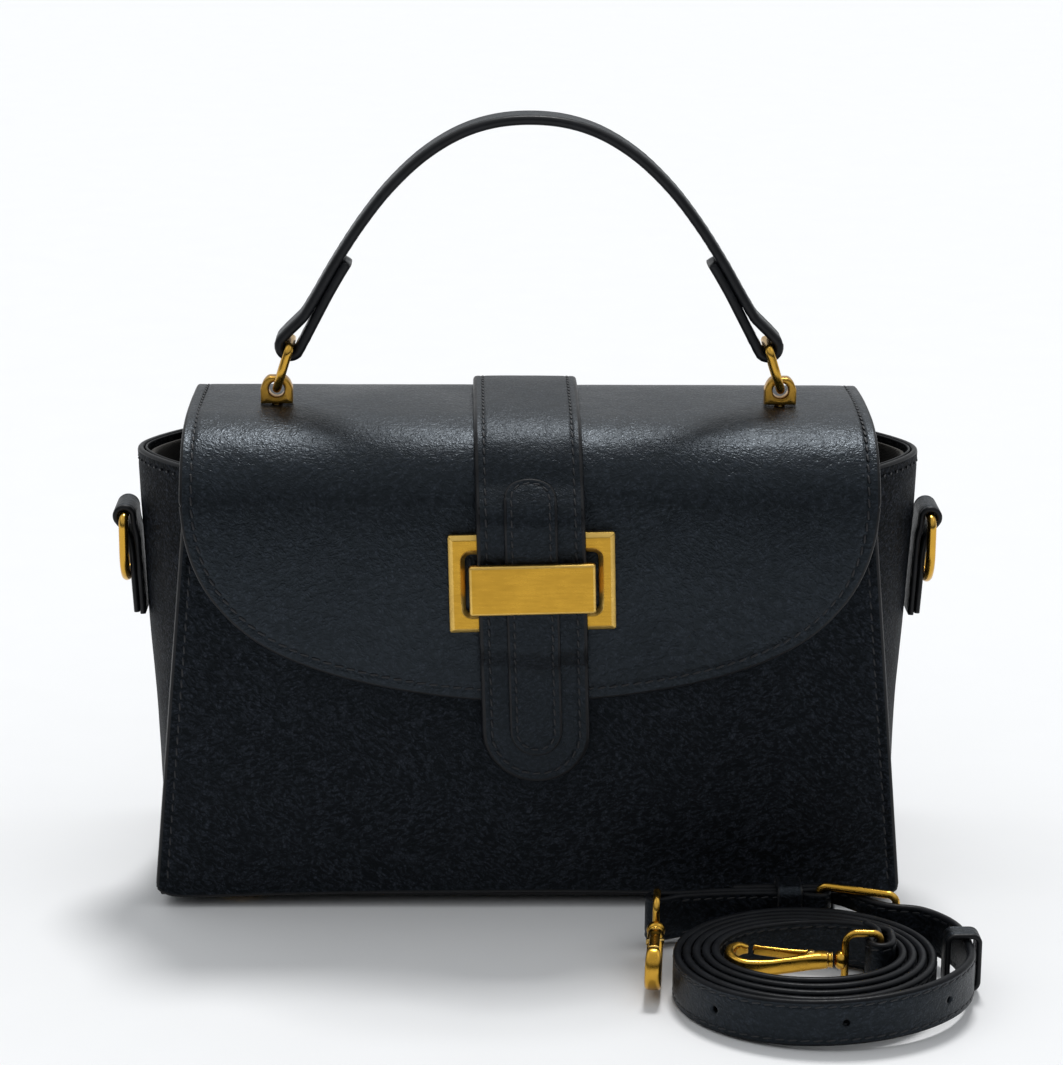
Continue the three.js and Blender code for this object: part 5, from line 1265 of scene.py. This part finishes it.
def hook(tag, origin, d, loop_n, body_n):
    u = unit(np.asarray(d, float))
    ln = unit(np.asarray(loop_n, float))
    lv = unit(np.cross(ln, u))
    at = lambda a, b: origin + u * a + lv * b
    loop = arc(-7.2, 5.5, 3.6, 0, PI / 2, 8) + arc(-12.2, 6.7, 2.4, PI / 2, PI, 8) + arc(-12.2, -6.7, 2.4, PI, 1.5 * PI, 8) + arc(-7.2, -5.5, 3.6, 1.5 * PI, 2 * PI, 8)
    P = np.array([at(a, b) for a, b in loop])
    w_ = wire(P, ln, 1.2, 16, True, 110, 1)
    ball = lathe_parts([(0.02, -4.6), (1.6, -4.4), (2.9, -3.2), (3.1, -2.2), (2.6, -0.9), (1.5, -0.3), (0.02, -0.27)], origin, u)
    V_, F_, mi_ = join_parts([w_, ball])
    make(f"hook_{tag}_eye_brass", V_, F_, [BRASS_WIRE], mi_, body="shoulder_strap", hides=[f"hook_{tag}_eye"], slot="brass")
    bn = unit(np.asarray(body_n, float) - u * np.dot(body_n, u))
    v2 = unit(np.cross(bn, u))
    P_ = lambda a, b, c=0.0: origin + u * a + v2 * b + bn * c
    collar = lathe_parts([(0.02, 0.27), (2.9, 0.3), (2.3, 0.9), (2.3, 1.6), (3.0, 2.3), (0.02, 2.3)], origin, u)
    midl = [(2.0, 0.0), (4.5, 0.15), (7.5, 1.1), (11, 2.6), (15.5, 4.1), (20, 5.3), (24, 5.75), (28.2, 5.2), (31.2, 3.0), (32.7, -0.3), (32.0, -4.1), (29.3, -6.4), (26.6, -6.1)]
    hw_ = [2.5, 2.7, 2.3, 1.65, 1.4, 1.42, 1.5, 1.6, 1.65, 1.65, 1.6, 1.45, 1.0]
    ht_ = [2.4, 2.65, 2.65, 2.6, 2.6, 2.6, 2.65, 2.65, 2.65, 2.6, 2.5, 2.2, 1.3]
    cvh = Curve([(a, b, 0) for a, b in midl], 2500)
    q = np.linspace(0, cvh.len, 90)
    M2 = cvh.at(q)
    tm = cvh.tan(q, 0.4)
    ks = np.array([cvh.s[np.argmin(np.hypot(cvh.D[:, 0] - a, cvh.D[:, 1] - b))] for a, b in midl])
    hw2, ht2 = np.interp(q, ks, hw_), np.interp(q, ks, ht_)
    C_ = np.array([P_(a, b) for a, b, _ in M2])
    A_ = unit(np.array([v2 * tt[0] - u * tt[1] for tt in tm]))
    B_ = np.repeat(bn[None], 90, 0)
    spine = sweep_mesh(C_, A_, B_, np.array([squircle(a, b) for a, b in zip(hw2, ht2)]))
    rivet = rod_vf(P_(7.2, -0.3), bn, 1.15, 5.75, 16)
    V_, F_, mi_ = join_parts([collar, spine, (rivet[0], rivet[1], [0] * len(rivet[1]))])
    make(f"hook_{tag}_body_brass", V_, F_, [BRASS_WIRE], mi_, body=f"hook_{tag}", hides=[f"hook_{tag}_body"], slot="brass")
    gp = [(6.9, -3.3), (9.0, -2.95), (13, -3.45), (18, -4.35), (22.5, -5.3), (24.9, -6.1)]
    cvg = Curve([(a, b, 0) for a, b in gp], 1200)
    q = np.linspace(0, cvg.len, 40)
    M2, tm = cvg.at(q), cvg.tan(q, 0.3)
    C_ = np.array([P_(a, b) for a, b, _ in M2])
    A_ = unit(np.array([v2 * tt[0] - u * tt[1] for tt in tm]))
    f = np.linspace(0, 1, 40)
    hwg = 0.62 + 0.22 * np.sin(np.clip(f * 1.15, 0, 1) * PI)
    gate = sweep_mesh(C_, A_, np.repeat(bn[None], 40, 0), np.array([squircle(a, 1.65) for a in hwg]))
    make(f"hook_{tag}_gate_brass", *gate[:2], [BRASS_WIRE], gate[2], body=f"hook_{tag}_gate", hides=[f"hook_{tag}_gate"], slot="brass")


dirA = unit(np.array([-0.998, 0.04, 0]))
oA = np.array([LOOP_A[0], LOOP_A[1], CARRY_Z]) + dirA * 14.6
hook("a", oA, dirA, np.cross((0, 0, 1), dirA), (0.02, -0.12, 0.99))
dirB = unit(np.array([-0.08, -0.99, -0.03]))
oB = np.array([LOOP_B[0], LOOP_B[1], CARRY_Z + 0.35]) + dirB * 14.6
hook("b", oB, dirB, np.cross((0, 0, 1), dirB), (1, -0.08, 0))

# ------------------------------------------------------------------ CAD pieces that keep their shape
keep_mats = {"base_board": BOARD, "snap_washer": STEEL, "lug_nut_left": STEEL, "lug_nut_right": STEEL, "lock_screw_left": STEEL,
             "lock_screw_right": STEEL, "snap_socket": BRASS_CAST, "snap_stud": BRASS_CAST, "foot_front_left": BRASS_CAST, "foot_front_right": BRASS_CAST,
             "foot_back_left": BRASS_CAST, "foot_back_right": BRASS_CAST}
for node, m in keep_mats.items():
    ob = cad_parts[node]
    if not ob.material_slots:
        ob.data.materials.append(m)
    for ms in ob.material_slots:
        ms.material = m

# ------------------------------------------------------------------ stage and light
bm = bmesh.new()
bmesh.ops.create_grid(bm, x_segments=4, y_segments=4, size=14.0)
fme = bpy.data.meshes.new("floor")
bm.to_mesh(fme)
bm.free()
floor = bpy.data.objects.new("floor", fme)
floor.location = (0, 6, -0.0002)
scene.collection.objects.link(floor)
nf_ = Nodes("floor_paper")
nz = nf_.noise(35, 2.0).outputs["Fac"]
fme.materials.append(nf_.finish(Base_Color=nf_.mix(nz, (0.84, 0.843, 0.85), (0.86, 0.863, 0.87)), Roughness=nf_.rng(nz, 0.2, 0.8, 0.75, 0.85), Specular_IOR_Level=0.2))

world = bpy.data.worlds.new("studio")
scene.world = world
world.use_nodes = True
bg = world.node_tree.nodes["Background"]
wt = world.node_tree


def wnode(kind, **kw):
    n = wt.nodes.new("ShaderNode" + kind)
    for k_, v_ in kw.items():
        setattr(n, k_, v_)
    return n


# a pale room that is dark only low down in front of the bag
wsep = wnode("SeparateXYZ")
wt.links.new(wnode("TexCoord").outputs["Generated"], wsep.inputs[0])
ramps = []
for out_, lo_, hi_ in (("Z", 0.16, 0.62), ("Y", -0.25, 0.45)):
    r_ = wnode("MapRange", interpolation_type="SMOOTHSTEP")
    wt.links.new(wsep.outputs[out_], r_.inputs["Value"])
    r_.inputs["From Min"].default_value, r_.inputs["From Max"].default_value = lo_, hi_
    ramps.append(r_.outputs["Result"])
wmax = wnode("Math", operation="MAXIMUM")
wt.links.new(ramps[0], wmax.inputs[0])
wt.links.new(ramps[1], wmax.inputs[1])
wmix = wnode("Mix", data_type="RGBA")
wt.links.new(wmax.outputs[0], wmix.inputs[0])
wmix.inputs[6].default_value = (0.045, 0.048, 0.052, 1)
wmix.inputs[7].default_value = (0.955, 0.98, 1.0, 1)
wt.links.new(wmix.outputs[2], bg.inputs["Color"])
bg.inputs["Strength"].default_value = 0.655


def sun(name, elev, azim, strength, angle, color=(1, 1, 1)):
    """A broad soft light from far off: elev above the floor, azim from +Y towards +X."""
    L = bpy.data.lights.new(name, "SUN")
    L.energy, L.angle, L.color = strength, rad(angle), color
    ob = bpy.data.objects.new(name, L)
    d = Vector((math.sin(rad(azim)) * math.cos(rad(elev)), math.cos(rad(azim)) * math.cos(rad(elev)), math.sin(rad(elev))))
    ob.rotation_euler = (-d).to_track_quat("-Z", "Y").to_euler()
    scene.collection.objects.link(ob)
    return ob


sun("key_overhead_back", 64, 8, 1.82, 12)
sun("fill_left", 55, -90, 0.10, 30)
sun("fill_right", 55, 90, 0.12, 30)

scene.view_settings.view_transform = "Standard"
scene.view_settings.look = "None"
